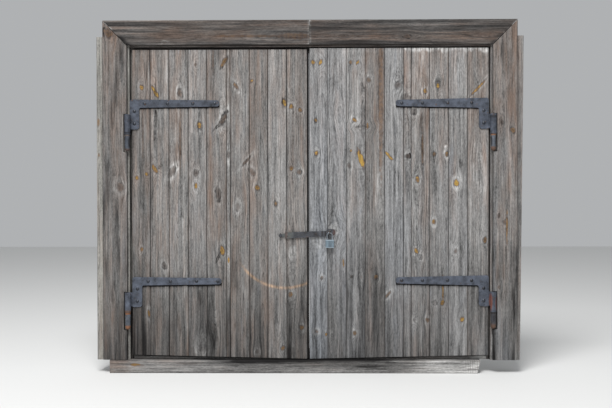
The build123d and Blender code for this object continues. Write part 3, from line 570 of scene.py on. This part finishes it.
# Each side's warmth, soot and chance, then its knots: a pixel of the picture, half width and
# half length in millimetres, lean in radians, and how orange, dark and pale
casing_tones = {"left": (0.30, 0.24, 530), "right": (0.36, 0.03, 550)}
casing_seeds = {"left": 21, "right": 27}
casing_knots = {
    "left": [
        (107.5, 33, 26, 34, 0.9, 0.42, 0.9), (120, 187, 22, 30, 0.4, 0.25, 0.3, 0.3),
        (119, 87, 8, 12, 0, 0.0, 0.2), (112, 300, 12, 16, 0, 0.1, 0.4),
    ],
    "right": [
        (513, 130, 13, 22, 0.5, 0.55, 0.3), (499, 216, 9, 13, 0, 0.3, 0.5),
        (505, 222, 10, 14, 0, 0.3, 0.5), (499, 287, 10, 14, 0, 0.3, 0.5),
        (507, 228, 5, 110, 0, 0.6, 0.0), (502, 122, 9, 14, 0, 0.2, 0.5),
    ],
}
for side, sign in sides:
    box_low, box_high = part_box(f"{side}_casing")
    inner, outer = (box_high.x, box_low.x) if sign < 0 else (box_low.x, box_high.x)
    width = box_high.x - box_low.x
    ends = (box_low.z, box_high.z - (width + mitre_opening) / 2)
    rows, cuts = [np.linspace(*ends, int((ends[1] - ends[0]) / row_step) + 1)], []
    for hinge in ("lower", "upper"):
        pintle_low, pintle_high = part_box(f"{side}_{hinge}_pintle")
        strap_low, strap_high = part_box(f"{side}_{hinge}_strap_hinge")
        foot, top = pintle_low.z - notch_clearance, pintle_high.z + pin_short + notch_clearance
        barrel = strap_low.x - notch_clearance if sign < 0 else strap_high.x + notch_clearance
        cuts.append((foot, top, barrel))
        rows.append(np.array([foot - notch_slant, foot, top, top + notch_slant]))
    corners = np.concatenate(rows[1:])
    apart = np.abs(rows[0][:, None] - corners).min(axis=1) > row_step / 2
    rows = np.unique(np.concatenate([rows[0][apart], corners]))
    inner_edge, outer_edge = np.full_like(rows, inner), np.full_like(rows, outer)
    for foot, top, barrel in cuts:
        inner_edge[(rows >= foot) & (rows <= top)] = barrel
    edges = (outer_edge, inner_edge) if sign < 0 else (inner_edge, outer_edge)
    mitre = (width + mitre_opening) / width
    piece = plank_surface(
        f"{side}_casing_board", "upright", (box_low.x, box_high.x), ends, box_low.y,
        box_high.y - box_low.y, casing_seeds[side], pith=(-0.01 * sign, 0.03, 0.02),
        slopes=(0, sign * mitre), stain=casing_stain(*casing_tones[side]), edges=edges,
        bevel=0.002, rows=rows, knots=[on_casing(*knot) for knot in casing_knots[side]],
    )
    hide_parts(f"{side}_casing")
    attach(piece, "frame")


def head_stain(warmth, seed, mitre_start, middle):
    """Brown-grey board with a long reddish drift and a pale, frayed end at the middle joint.
    The mitre has a pale arris, and dirt has run out of it at the inner corner."""
    def stain(a, b, nearest, tone, orange, dark, pale):
        tone["brown"] = warmth + 0.35 * drift(b * 1.4, a * 11, seed)
        tone["dark"] = 0.60 + 0.10 * ease(-0.1, 0.7, drift(b * 3.4, a * 12, seed + 3))
        mitre_away = mitre_start + (a - middle) - np.abs(b)
        arris = 0.7 * ease(0.011, 0.003, mitre_away)
        pale = np.maximum(pale, arris * ease(-0.4, 0.4, drift(a * 30, b * 30, seed + 7)))
        run_out = 0.35 * ease(0.05, 0.0, mitre_away)
        tone["dark"] = tone["dark"] + run_out * ease(0.03, -0.08, a - middle)
        frayed = 0.75 * ease(0.016, 0.003, np.abs(b))
        pale = np.maximum(pale, frayed * (0.6 + 0.6 * drift(b * 40, a * 60, seed + 5)))
        rubbed = 0.32 * ease(0.012, 0.002, nearest)
        pale = np.maximum(pale, rubbed * ease(-0.3, 0.4, drift(b * 3, a * 3, seed + 9)))
        return tone, orange, dark, pale
    return stain


head_tones = {"left": (0.55, 550), "right": (0.62, 570)}
head_seeds = {"left": 33, "right": 39}
head_knots = {
    "left": [
        (296, 36, 22, 130, 0, 0.36, 0.25), (250, 36, 9, 260, 0, 0.36, 0.15),
        (165, 43, 8, 14, 0, 0.0, 0.5, 0.5),
    ],
    "right": [
        (343, 36, 8, 12, 0, 0.2, 0.6), (407, 36, 14, 28, 0, 0.3, 0.6),
        (417, 24.5, 6, 8, 0, 0.0, 0.6), (360, 36, 6, 320, 0, 0.25, 0.2),
        (485, 34, 12, 40, 0, 0.2, 0.4), (338, 22, 7, 10, 0, 0.0, 0.5),
    ],
}
for side, sign in sides:
    box_low, box_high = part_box(f"{side}_head_casing")
    near, far = (box_high.x, box_low.x) if sign < 0 else (box_low.x, box_high.x)
    mitre_end = far - sign * (box_high.z - box_low.z) / 2
    piece = plank_surface(
        f"{side}_head_board", "level", (box_low.z, box_high.z),
        (mitre_end, near) if sign < 0 else (near, mitre_end), box_low.y,
        box_high.y - box_low.y, head_seeds[side], pith=(0.02, 0.06, 0.01),
        slopes=(-1, 0) if sign < 0 else (0, 1),
        stain=head_stain(*head_tones[side], abs(mitre_end), (box_low.z + box_high.z) / 2),
        bevel=0.002, knots=[on_casing(*knot, upright=False) for knot in head_knots[side]],
    )
    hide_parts(f"{side}_head_casing")
    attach(piece, "frame")

# Leaf boards: planed softwood, tongued and grooved and nailed to the ledges behind. Each
# has weathered in its own way: silver, brown under the eaves, and dark at the wet foot.
tongue, joint_gap, lip, lip_thick = 0.008, 0.001, 0.012, 0.010
tongue_front, tongue_back, tongue_play = 0.010, 0.018, 0.0005
edge_front, edge_back = 0.009, 0.020
foot_fall, knot_reach, board_count = 0.028, 0.03, 10
pith_across, pith_depth, pith_rise = 0.045, (0.012, 0.05), (0.008, 0.03)
chance_of_leaf = {"left": 7, "right": 53}

# Knots, listed as on the casings
left_knots = [
    (141.5, 87.6, 9, 14, 0.3, 0.75, 0.25, 0.1), (155, 92, 8, 38, 0.55, 0.85, 0.2, 0.2),
    (180, 93, 12, 20, 0.1, 0.3, 0.55, 0.35), (195.4, 64.7, 6, 8, 0, 0.35, 0.7, 0.1),
    (224, 62, 9, 30, -0.5, 0.55, 0.75, 0), (213, 62, 6, 60, 0, 0.3, 0.4, 0),
    (236, 86, 9, 24, 0.6, 0.45, 0.2, 0.4), (251.7, 81, 8, 9, 0, 0.75, 0.2, 0),
    (223.6, 119, 13, 34, -0.45, 0.35, 0.75, 0.6), (199.5, 125.5, 10, 18, 0.2, 0.75, 0.35, 0.35),
    (284.4, 102.6, 9, 20, 0.3, 0.75, 0.6, 0), (291.3, 106.6, 10, 13, 0, 0.7, 0.3, 0.25),
    (300, 110, 9, 10, 0, 0.55, 0.3, 0.35), (291.3, 168, 9, 13, 0, 0.7, 0.35, 0.1),
    (299, 172, 11, 12, 0, 0.35, 0.5, 0.4), (154.7, 169, 9, 22, 0.5, 0.7, 0.35, 0.1),
    (146.6, 174, 8, 9, 0, 0.75, 0.2, 0), (137, 178, 9, 11, 0, 0.7, 0.25, 0),
    (172, 172, 12, 26, -0.5, 0.1, 0.4, 0.7), (196, 186, 10, 17, 0, 0.7, 0.15, 0.4),
    (196, 173, 12, 14, 0, 0.15, 0.5, 0.2), (257.4, 188, 10, 17, 0.3, 0.7, 0.35, 0.25),
    (218.4, 194, 11, 34, 0.1, 0.2, 0.75, 0.2), (222.4, 251, 12, 24, 0.2, 0.72, 0.25, 0.4),
    (218.5, 257, 5, 26, -0.5, 0, 0.8, 0), (228.7, 260, 5, 16, 0, 0.85, 0, 0.2),
    (141.5, 249.5, 9, 12, 0, 0.55, 0.4, 0.2), (164.4, 266, 10, 16, 0.3, 0.12, 0.45, 0.5),
    (149, 314, 6, 22, 0.1, 0.6, 0.2, 0.5), (290.7, 295, 12, 14, 0, 0.6, 0.45, 0.3),
    (302, 327.6, 10, 13, 0.4, 0.55, 0.3, 0.6), (282.7, 347.7, 10, 12, 0, 0.5, 0.45, 0.1),
    (257.4, 351.7, 9, 10, 0, 0.1, 0.2, 0.8), (214.4, 328.7, 11, 30, 0.3, 0.15, 0.75, 0.1),
    (275.8, 203.6, 9, 13, 0, 0.5, 0.3, 0.2), (203, 346, 22, 30, 0, 0, 0.3, 0.6),
    (252, 172, 12, 20, 0.6, 0.25, 0.4, 0.2), (155.2, 126, 5, 60, -0.05, 0, 0.7, 0),
    (238, 207, 12, 20, 0, 0.1, 0.4, 0.3), (180.2, 140, 6, 180, 0, 0.32, 0.4, 0),
    (142.8, 133, 5, 170, 0, 0.28, 0.25, 0), (221.5, 122.5, 6, 42, -0.8, 0, 0.85, 0),
    (222, 114, 14, 42, 0, 0, 0, 0.7), (228.5, 155, 6, 22, 0, 0.15, 0, 0.7),
    (246.5, 161, 6, 32, -0.7, 0.3, 0.6, 0.3), (292.8, 140, 6, 150, 0, 0.1, 0.5, 0),
    (160, 166.5, 6, 14, -0.9, 0, 0.8, 0), (293, 238, 4, 80, 0, 0, 0.8, 0),
    (292, 252, 22, 42, 0, 0, 0, 0.55),
]
right_knots = [
    (313, 62.4, 9, 11, 0.3, 0.7, 0.25, 0), (320.5, 62.4, 9, 13, -0.3, 0.75, 0.25, 0),
    (351, 62.4, 8, 11, 0, 0.45, 0.4, 0), (357.8, 62.4, 8, 12, -0.6, 0.75, 0.3, 0),
    (315.5, 120, 8, 10, 0.4, 0.6, 0.35, 0.1), (354.7, 120, 9, 14, 0.8, 0.65, 0.1, 0.35),
    (316.2, 153, 9, 13, 0.2, 0.75, 0.15, 0.45), (351, 150.7, 5, 7, 0, 0.75, 0.3, 0),
    (361, 159, 13, 50, 0.32, 0.95, 0.1, 0.2), (369, 80, 10, 15, 0, 0.35, 0.5, 0.3),
    (398, 85, 14, 18, -0.6, 0.2, 0.35, 0.35), (438, 86, 9, 14, 0, 0.85, 0.1, 0),
    (438, 81, 9, 6, 0, 0, 0.75, 0.3), (425, 91, 8, 12, 0, 0.65, 0.2, 0.5),
    (477.8, 88, 6, 50, -0.75, 0.7, 0.05, 0.3), (389, 156, 7, 28, 0.75, 0.85, 0.1, 0.2),
    (408, 156, 12, 12, 0, 0.3, 0.7, 0.5), (434.3, 154, 9, 11, 0, 0.45, 0.5, 0.2),
    (446.7, 154, 9, 13, 0, 0.6, 0.4, 0.5), (417.5, 179, 9, 17, 0, 0.7, 0.1, 0.75),
    (456.7, 183, 12, 17, 0, 0.85, 0.15, 0.7), (433.9, 222, 9, 14, 0, 0.62, 0.35, 0.6),
    (416, 251, 10, 14, 0.4, 0.72, 0.2, 0.6), (420.5, 257, 9, 12, 0.4, 0, 0.7, 0.3),
    (343.4, 263, 5, 26, 0.1, 0.62, 0.15, 0.2), (455.6, 251, 8, 10, 0, 0.42, 0.25, 0.15),
    (485, 240, 8, 14, 0, 0.55, 0.3, 0.3), (376, 277, 11, 12, 0, 0.5, 0.4, 0.3),
    (351, 276.6, 6, 8, 0, 0.2, 0.7, 0.1), (361.6, 277, 8, 10, 0, 0.2, 0.4, 0.2),
    (388, 294.5, 8, 20, -0.7, 0.45, 0.35, 0.5), (442.2, 303, 10, 13, 0, 0.7, 0.4, 0.2),
    (443, 290, 4, 80, 0, 0.7, 0, 0.1), (435, 303, 11, 12, 0, 0.1, 0.8, 0.2),
    (427.6, 320, 10, 12, 0, 0.6, 0.45, 0.3), (415, 320, 7, 9, 0, 0.1, 0.5, 0.4),
    (462, 319, 13, 12, 0, 0.8, 0.15, 0.3), (354.8, 333, 8, 11, 0, 0.62, 0.3, 0.5),
    (316.6, 331.5, 9, 10, 0, 0.35, 0.2, 0.6), (326, 334, 7, 9, 0, 0.62, 0.3, 0.2),
    (332, 333, 12, 20, 0.9, 0, 0, 0.5), (321.7, 278, 8, 10, 0, 0.4, 0.2, 0.4),
    (381, 105, 12, 420, 0, 0.34, 0, 0), (340, 113, 17, 30, 0, 0.05, 0.3, 0.1),
    (479, 170, 16, 60, 0.2, 0, 0.45, 0.2), (417, 196, 14, 44, 0, 0, 0.3, 0.1),
    (363, 118, 7, 80, 0, 0.1, 0.5, 0), (407, 100, 20, 26, 0.8, 0, 0.5, 0.2),
    (363, 128, 14, 150, 0, 0, 0.35, 0), (362.5, 126.8, 28, 4, 0, 0, 0.7, 0),
    (367.5, 126, 5, 14, 0, 0.7, 0.1, 0), (349, 165.5, 9, 14, 0, 0.2, 0.3, 0.5),
    (413.5, 111.5, 14, 13, 0, 0, 0.75, 0.3), (422.5, 150, 6, 90, 0, 0.38, 0.3, 0),
    (421, 118, 5, 70, 0, 0.2, 0.4, 0), (446, 147.5, 10, 18, 0, 0, 0, 0.6),
    (461, 163, 6, 20, 0, 0, 0.5, 0), (333, 230, 42, 34, 0.6, 0, 0, 0.4),
    (316, 243, 30, 46, 0, 0, 0, 0.35),
]
knot_swell = 1.3
# Each board's share of brown at the eaves and below, of soot, of slate blue, and of damp
left_tones = [
    (0.6, 0.36, 0.26, 0, 0.54), (0.54, 0.3, 0.07, 0, 0.51), (0.52, 0.3, 0.02, 0, 0.5),
    (0.3, 0.2, 0.06, 0.1, 0.45), (0.42, 0.26, 0.12, 0, 0.52), (0.34, 0.28, 0.08, 0, 0.48),
    (0.48, 0.3, 0.11, 0, 0.45), (0.58, 0.38, 0.14, 0, 0.5), (0.18, 0.18, -0.07, 0.1, 0.4),
    (0.42, 0.32, 0.16, 0, 0.4),
]
right_tones = [
    (0.22, 0.04, -0.06, 0.6, 0.38), (0.2, 0.02, -0.1, 0.7, 0.62), (0.34, 0.08, 0.04, 0.4, 0.52),
    (0.54, 0.24, 0.15, 0.1, 0.44), (0.24, 0.02, 0.0, 0.4, 0.46), (0.52, 0.06, -0.02, 0.3, 0.44),
    (0.56, 0.16, -0.07, 0.1, 0.6), (0.46, 0.1, -0.1, 0.2, 0.62), (0.22, 0.02, -0.12, 0.3, 0.34),
    (0.54, 0.2, -0.02, 0.1, 0.38),
]
scuff_centre, scuff_radius, scuff_half = spot(285, 235, leaf_front), 0.372, 0.0085
meeting_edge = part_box("right_board_1")[0].x
strap_roots, strap_tip = {"left": 0.059, "right": 0.070}, 0.043
seam_shares, meeting_gap_shade = {"left": 0.80, "right": 0.62}, 1.40
damp_tops = {"left": 0.40, "right": 0.60}
middle_light = {"left": 0.0, "right": 0.11}
top_bleach, outer_top_bleach, outer_boards = 0.20, 0.85, 6


def strap_shadow(side, a, b):
    """Painted shadow close under both straps, whose lower edge rises from the root to the tip."""
    painted_shadow, root = 0 * a, strap_roots[side]
    for hinge in ("lower", "upper"):
        strap_low, strap_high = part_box(f"{side}_{hinge}_strap_hinge")
        ends = (strap_high.x, strap_low.x) if side == "left" else (strap_low.x, strap_high.x)
        along_strap = (a - ends[1]) / (ends[0] - ends[1])
        lower_edge = strap_high.z - root / 2 - (root + (strap_tip - root) * along_strap) / 2
        below = lower_edge - b
        under = 0.95 * ease(0.014, 0.004, below) + 0.30 * ease(0.034, 0.006, below)
        painted_shadow = np.maximum(painted_shadow, (below > -0.01) * under * (along_strap < 1))
    return painted_shadow


def board_stain(side, number, tones, seed, foot, top):
    """Brown drifts down from the eaves, soot gathers in the seams and at the wet foot, and
    the left leaf has the pale orange arc that the swinging bar has scored. Painted shadow
    lies close under the straps, and painted shade blackens the board edges at the meeting gap."""
    brown_top, brown_low, soot_share, blue, damp = tones

    def stain(a, b, nearest, tone, orange, dark, pale):
        rise = (b - foot) / (top - foot)
        up = ease(0.35, 0.95, rise + 0.25 * drift(a * 6, b * 1.5, seed))
        down = ease(damp_tops[side], 0.02, rise + 0.10 * drift(a * 8, b * 2, seed + 1))
        brown = brown_low - 0.10 + (brown_top - brown_low) * up
        brown = brown + 0.5 * drift(a * 16, b * 1.6, seed + 2)
        tone["brown"] = brown + 0.3 * ease(0.012, 0.0, nearest) * lattice(b * 3, a * 0, seed + 8)

        patches = 0.50 * ease(0.25, 0.9, drift(a * 22, b * 4.0, seed + 3))
        streaks = 0.30 * ease(0.30, 0.80, drift(a * 60, b * 2.2, seed + 9))
        loose = 0.16 * ease(0.009, 0.0, nearest) * lattice(b * 5, a * 0, seed + 4)
        dry = middle_light[side] * (1 - up) * (1 - down)
        dirt_and_shade = soot_share - dry + damp * down + patches + streaks + loose
        worst = seam_shares[side] * (0.75 + 0.5 * lattice(b * 4, a * 0, seed + 12))
        # Painted shade: the edges of the last left board, at the meeting gap, go black.
        if side == "left" and number == board_count:
            worst = meeting_gap_shade
        # Painted shadow under the straps is added here.
        dirt_and_shade = np.maximum(dirt_and_shade, worst * ease(0.0032, 0.0, nearest)) + strap_shadow(side, a, b)

        tone["blue"] = blue * (0.7 + drift(a * 7, b * 1.1, seed + 5)) * (1 - 0.6 * up)
        tone["blue"] = tone["blue"] + 0.5 * ease(0.3, 0.9, drift(a * 25, b * 3.5, seed + 10))
        milky = 0.34 * ease(0.25, 0.8, drift(a * 24, b * 3.8, seed + 6))
        pale = np.maximum(pale, milky * (1 - 0.7 * down))
        if side == "right":
            # Painted shade: black along the right leaf's edge at the meeting gap.
            dirt_and_shade = np.maximum(dirt_and_shade, meeting_gap_shade * ease(meeting_edge + 0.005, meeting_edge, a))
            frosted = ease(top - 0.036, top - 0.010, b + 0.03 * drift(a * 30, b, seed + 7))
            share = outer_top_bleach if number >= outer_boards else top_bleach
            pale = np.maximum(pale, share * frosted)
        else:
            from_x, from_z = a - scuff_centre[0], b - scuff_centre[1]
            away = np.hypot(from_x, from_z) - scuff_radius
            low_arc = ease(0.12, 0.26, -from_z) * ease(-0.34, -0.26, from_x)
            scraped = 0.85 + 0.7 * drift(a * 60, b * 60, seed + 8)
            tone["scored"] = bell(away, 0, scuff_half) * low_arc * scraped
        tone["dark"] = dirt_and_shade
        return tone, orange, dark, pale
    return stain


leaves = (("left", -1, left_knots, left_tones), ("right", 1, right_knots, right_tones))
for side, sign, knots, tones in leaves:
    leaf_low, leaf_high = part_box(f"{side}_board_1")[0].x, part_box(f"{side}_board_10")[1].x
    last_lip = lip if side == "left" else 0.0
    fall = foot_fall / (leaf_high - last_lip - leaf_low)
    placed = [
        (*spot(px, py, leaf_front), knot_swell * wide / 1000, knot_swell * long / 1000, *rest)
        for px, py, wide, long, *rest in knots
    ]
    for number in range(1, board_count + 1):
        node = f"{side}_board_{number}"
        box_low, box_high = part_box(node)
        first, last = number == 1, number == board_count
        back_low, back_high = box_low.x, box_high.x - (last_lip if last else tongue)
        face_low = back_low if first else back_low + joint_gap
        face_high = back_high if last else back_high - joint_gap
        thick = box_high.y - box_low.y
        if last and side == "left":
            high_side = ((0, edge_front), (0, thick - lip_thick), (lip, thick - lip_thick))
        elif last:
            high_side = ((0, edge_front), (0, edge_back))
        else:
            reach = tongue + joint_gap
            high_side = (
                (0, tongue_front), (reach, tongue_front), (reach, tongue_back),
                (joint_gap, tongue_back),
            )
        groove = tongue + 2 * tongue_play - joint_gap
        low_side = ((0, edge_back), (0, edge_front)) if first else (
            (-joint_gap, tongue_back + tongue_play), (groove, tongue_back + tongue_play),
            (groove, tongue_front - tongue_play), (0, tongue_front - tongue_play),
        )
        seed = 100 * number + chance_of_leaf[side]
        chance = np.random.default_rng(seed)
        pith = (
            chance.uniform(-pith_across, pith_across), chance.uniform(*pith_depth),
            chance.choice([-1, 1]) * chance.uniform(*pith_rise),
        )
        near_foot = box_low.z + fall * (back_high - back_low) / 2
        piece = plank_surface(
            f"{side}_leaf_board_{number}", "upright", (face_low, face_high),
            (near_foot, box_high.z), leaf_front, thick, seed, pith=pith,
            slopes=(sign * fall, 0), low_side=low_side, high_side=high_side,
            stain=board_stain(side, number, tones[number - 1], seed, near_foot, box_high.z),
            knots=[k for k in placed if face_low - knot_reach < k[0] < face_high + knot_reach],
        )
        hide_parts(node)
        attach(piece, f"{side}_leaf")

# Ledges and braces: rough battens fixed across the back of each leaf, kept dry inside the
# barn, so they have stayed browner than the boards.
batten_grey, batten_brown = (0.31, 0.265, 0.215), (0.21, 0.150, 0.100)
ledge_finish, brace_finish = (
    wood_finish(name, run, batten_grey, batten_brown, brownness=0.35, seed=seed)
    for name, run, seed in (("ledge_timber", "X", 0.2), ("brace_timber", "Z", 0.5))
)
for side in ("left", "right"):
    for tier in ("lower", "middle", "upper"):
        dress(f"{side}_{tier}_ledge", ledge_finish)
    for tier in ("lower", "upper"):
        dress(f"{side}_{tier}_brace", brace_finish)

# Pintles and strap hinges: hand-forged iron, blue-grey from the fire and dulled by years
# of weather, with rust where water hangs on the washers, collars and noses. Black patches
# down the sides, at a joint and at the top of the upper hinges' barrels are painted shade.
hinge_skin, painted_barrel_shade = (0.080, 0.092, 0.120), (0.016, 0.016, 0.019)
rust_brown, rust_orange = (0.125, 0.070, 0.045), (0.270, 0.115, 0.050)
rust_red, rusted_roughness = (0.180, 0.062, 0.042), 0.85
knuckle_length, washer_thickness = 0.140, 0.012
barrel_depth, barrel_reach, aside_reach = 0.022, 0.035, 0.010


def iron_finish(
    name, skin, roughness, seed, rust_share=0.0, layers=(), brushed=(24.0, 24.0, 24.0), metal=0.3,
):
    """Forged iron: a dull skin, mottled and dented by broad noise, with rust that breaks
    through in specks. Each layer is a colour and the places where it lies."""
    material, tree, shader = new_finish(name)
    spot_of = put(tree, "TexCoord").outputs["Object"]
    place = put(tree, "VectorMath", spot_of, (seed, seed, seed), operation="ADD").outputs[0]
    dents = cloud(tree, place, (55.0, 55.0, 55.0), 3.0, 0.5)
    mottle = cloud(tree, place, brushed, 5.0, 0.65)
    grit = cloud(tree, place, (300.0, 300.0, 300.0), 3.0)
    light = sway(tree, 1.0, (mottle, 3.0), (grit, 1.0))
    colour = shaded(tree, skin, reckon(tree, "MAXIMUM", light, 0.3))
    bloom = times(tree, dents, reckon(tree, "MULTIPLY_ADD", grit, 0.6, 0.7))
    edge = 0.66 - 0.32 * rust_share
    speck = ramp(tree, bloom, edge, edge + 0.08)
    colour = blend(tree, speck, colour, rust_brown)
    ragged = reckon(tree, "MULTIPLY_ADD", grit, 0.8, -0.4)
    for tint, places in layers:
        colour = blend(tree, near_any(tree, spot_of, places, ragged), colour, tint)
    tree.links.new(colour, shader.inputs["Base Color"])
    rough = ramp(tree, speck, 0.0, 1.0, roughness, rusted_roughness)
    tree.links.new(rough, shader.inputs["Roughness"])
    shader.inputs["Metallic"].default_value = metal
    emboss(tree, shader, reckon(tree, "MULTIPLY_ADD", grit, 0.12, dents), 0.7, 0.0022)
    return material


def hinge_place(hinge, rise, half_high, strength, aside=0.0):
    """Round the barrel of one hinge, at a height above its lower end; aside is sideways."""
    strap_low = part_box(f"{hinge}_strap_hinge")[0]
    pintle_low, pintle_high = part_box(f"{hinge}_pintle")
    x = (pintle_low.x + pintle_high.x) / 2 + aside
    barrel_foot = pintle_high.z + pin_short - knuckle_length
    middle = (x, strap_low.y + barrel_depth, barrel_foot + rise)
    half = (aside_reach if aside else barrel_reach, barrel_reach, half_high)
    return middle, half, strength


washer_rise, nose_rise, collar_rise = -washer_thickness / 2, -0.108, 0.007
hinge_shades = {"left_upper": 0.72, "right_upper": 0.86, "left_lower": 0.92, "right_lower": 0.94}
pintle_skins = {
    "left_upper": (0.050, 0.058, 0.074), "right_upper": (0.090, 0.102, 0.122),
    "left_lower": (0.090, 0.100, 0.120), "right_lower": (0.050, 0.050, 0.058),
}
# Each patch is its rise, half height, strength and, where it lies beside the barrel, how far
rust_patches = {
    "left_upper": [
        (rust_brown, [(nose_rise, 0.010, 0.5)]),
        # Painted shade down both sides of the barrel and in the joint just above its foot.
        (painted_barrel_shade, [
            (0.05, 0.05, 0.75, -0.021), (-0.055, 0.035, 0.75, 0.017), (0.010, 0.007, 0.8),
        ]),
    ],
    "right_upper": [
        (rust_brown, [(nose_rise, 0.022, 0.9)]),
        # Painted shade down both sides of the pintle and across the top of the knuckle.
        (painted_barrel_shade, [(-0.05, 0.035, 0.8, -0.018), (-0.05, 0.035, 0.8, 0.018), (0.12, 0.012, 0.6)]),
    ],
    "left_lower": [
        (rust_orange, [(nose_rise, 0.020, 0.85)]),
        (rust_brown, [(collar_rise, 0.012, 0.8)]),
    ],
    "right_lower": [
        (rust_brown, [(nose_rise, 0.030, 0.8)]),
        (rust_red, [(0.07, 0.06, 0.85, -0.018), (0.06, 0.05, 0.7, 0.019)]),
    ],
}
for number, (hinge, patches) in enumerate(rust_patches.items()):
    layers = [(tint, [hinge_place(hinge, *patch) for patch in group]) for tint, group in patches]
    strap_skin = tuple(v * hinge_shades[hinge] for v in hinge_skin)
    strap_iron = iron_finish(f"strap_iron_{hinge}", strap_skin, 0.5, number, layers=layers)
    pintle_iron = iron_finish(
        f"pintle_iron_{hinge}", pintle_skins[hinge], 0.6, number + 4.0, layers=layers,
    )
    dress(f"{hinge}_strap_hinge", strap_iron)
    dress(f"{hinge}_pintle", pintle_iron)
dress("hinge_washers", iron_finish("washer_iron", (0.100, 0.085, 0.080), 0.75, 7.0, layers=[
    (rust_orange, [
        hinge_place("left_lower", washer_rise, 0.02, 0.85),
        hinge_place("right_upper", washer_rise, 0.02, 0.6),
    ]),
    (near_black, [hinge_place("right_lower", washer_rise, 0.02, 0.8)]),
]))

# Coach bolts and nuts: darkened steel, their domed heads proud of the straps.
bolt_steel = iron_finish("bolt_steel", (0.030, 0.034, 0.044), 0.42, 11.0)
for side in ("left", "right"):
    dress(f"{side}_hinge_bolts", bolt_steel)
    dress(f"{side}_hinge_nuts", bolt_steel)

# Hasp: a link forged round its staple and a tapered bar riveted to it, browner than the
# hinges because hands have kept the fire skin off it.
lock_low, lock_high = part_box("padlock_body")
lock_x, lock_y = (lock_low.x + lock_high.x) / 2, (lock_low.y + lock_high.y) / 2
bar_low, bar_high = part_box("hasp_bar")
bar_middle = (bar_low.z + bar_high.z) / 2
rubbed_grey, handled_brown = (0.115, 0.125, 0.115), (0.090, 0.052, 0.045)
band_black, band_steps = (0.020, 0.018, 0.018), (0.031, 0.053)


def bar_place(x, half_wide, strength, half_high=0.04):
    """A stretch of the bar's front."""
    return (x, bar_low.y, bar_middle), (half_wide, 0.02, half_high), strength


hasp_iron = iron_finish("hasp_iron", (0.058, 0.061, 0.070), 0.5, 5.0, 0.1, layers=[
    (rubbed_grey, [bar_place(bar_low.x + 0.02, 0.040, 0.55)]),
    (handled_brown, [bar_place(bar_high.x, 0.020, 0.8), bar_place(bar_low.x + 0.012, 0.010, 0.6)]),
    (band_black, [bar_place(lock_x - step, 0.0045, 0.9, 0.08) for step in band_steps]),
])
staple_iron = iron_finish("staple_iron", (0.055, 0.050, 0.050), 0.45, 6.0, 0.3)
for node in ("hasp_link", "hasp_bar", "hasp_rivet"):
    dress(node, hasp_iron)
for node in ("hasp_staple", "lock_staple"):
    dress(node, staple_iron)

# Padlock: a pressed steel case, satin blue-grey with a pale band at each end, a plated
# shackle and a brass cylinder.
case_steel, band_steel = (0.155, 0.205, 0.245), (0.42, 0.50, 0.56)
band_half, band_strength = (0.08, 0.08, 0.004), 0.8
lock_bands = [((lock_x, lock_y, z), band_half, band_strength) for z in (lock_low.z, lock_high.z)]
lock_case = iron_finish(
    "lock_case", case_steel, 0.34, 9.0, layers=[(band_steel, lock_bands)],
    brushed=(75.0, 75.0, 3.0),
)
dress("padlock_body", lock_case)
dress("shackle", iron_finish("shackle_plate", (0.215, 0.235, 0.260), 0.30, 13.0, metal=0.6))
dress("lock_cylinder", iron_finish("cylinder_brass", (0.42, 0.30, 0.12), 0.35, 15.0, metal=0.8))

# Stage: a pale floor under the sill and soft light from above and in front, as under an
# overcast sky, with a pale room behind.
floor_half = 14.0
floor_corners = [(-1, -1), (1, -1), (1, 1), (-1, 1)]
floor_mesh = bpy.data.meshes.new("pale_floor")
floor_mesh.from_pydata(
    [(x * floor_half, y * floor_half, 0) for x, y in floor_corners], [], [(0, 1, 2, 3)],
)
floor = stand("pale_floor", floor_mesh)
floor_finish, _, floor_shader = new_finish("pale_floor")
floor_shader.inputs["Base Color"].default_value = (0.72, 0.72, 0.71, 1.0)
floor_shader.inputs["Roughness"].default_value = 0.9
floor_mesh.materials.append(floor_finish)

world = bpy.data.worlds.new("pale_room")
world.use_nodes = True
room = world.node_tree.nodes["Background"]
room.inputs["Color"].default_value = (0.86, 0.88, 0.90, 1.0)
room.inputs["Strength"].default_value = 0.50
bpy.context.scene.world = world

lamp_data = bpy.data.lights.new("sky_lamp", "AREA")
lamp_data.size, lamp_data.energy = 4.0, 1000
lamp = stand("sky_lamp", lamp_data)
lamp_place, lamp_aim = Vector((-1.2, -5.0, 8.6)), Vector((0, 0, 1.2))
lamp.location = lamp_place
lamp.rotation_euler = (lamp_aim - lamp_place).to_track_quat("-Z", "Y").to_euler()
bpy.context.scene.view_settings.view_transform = "Standard"
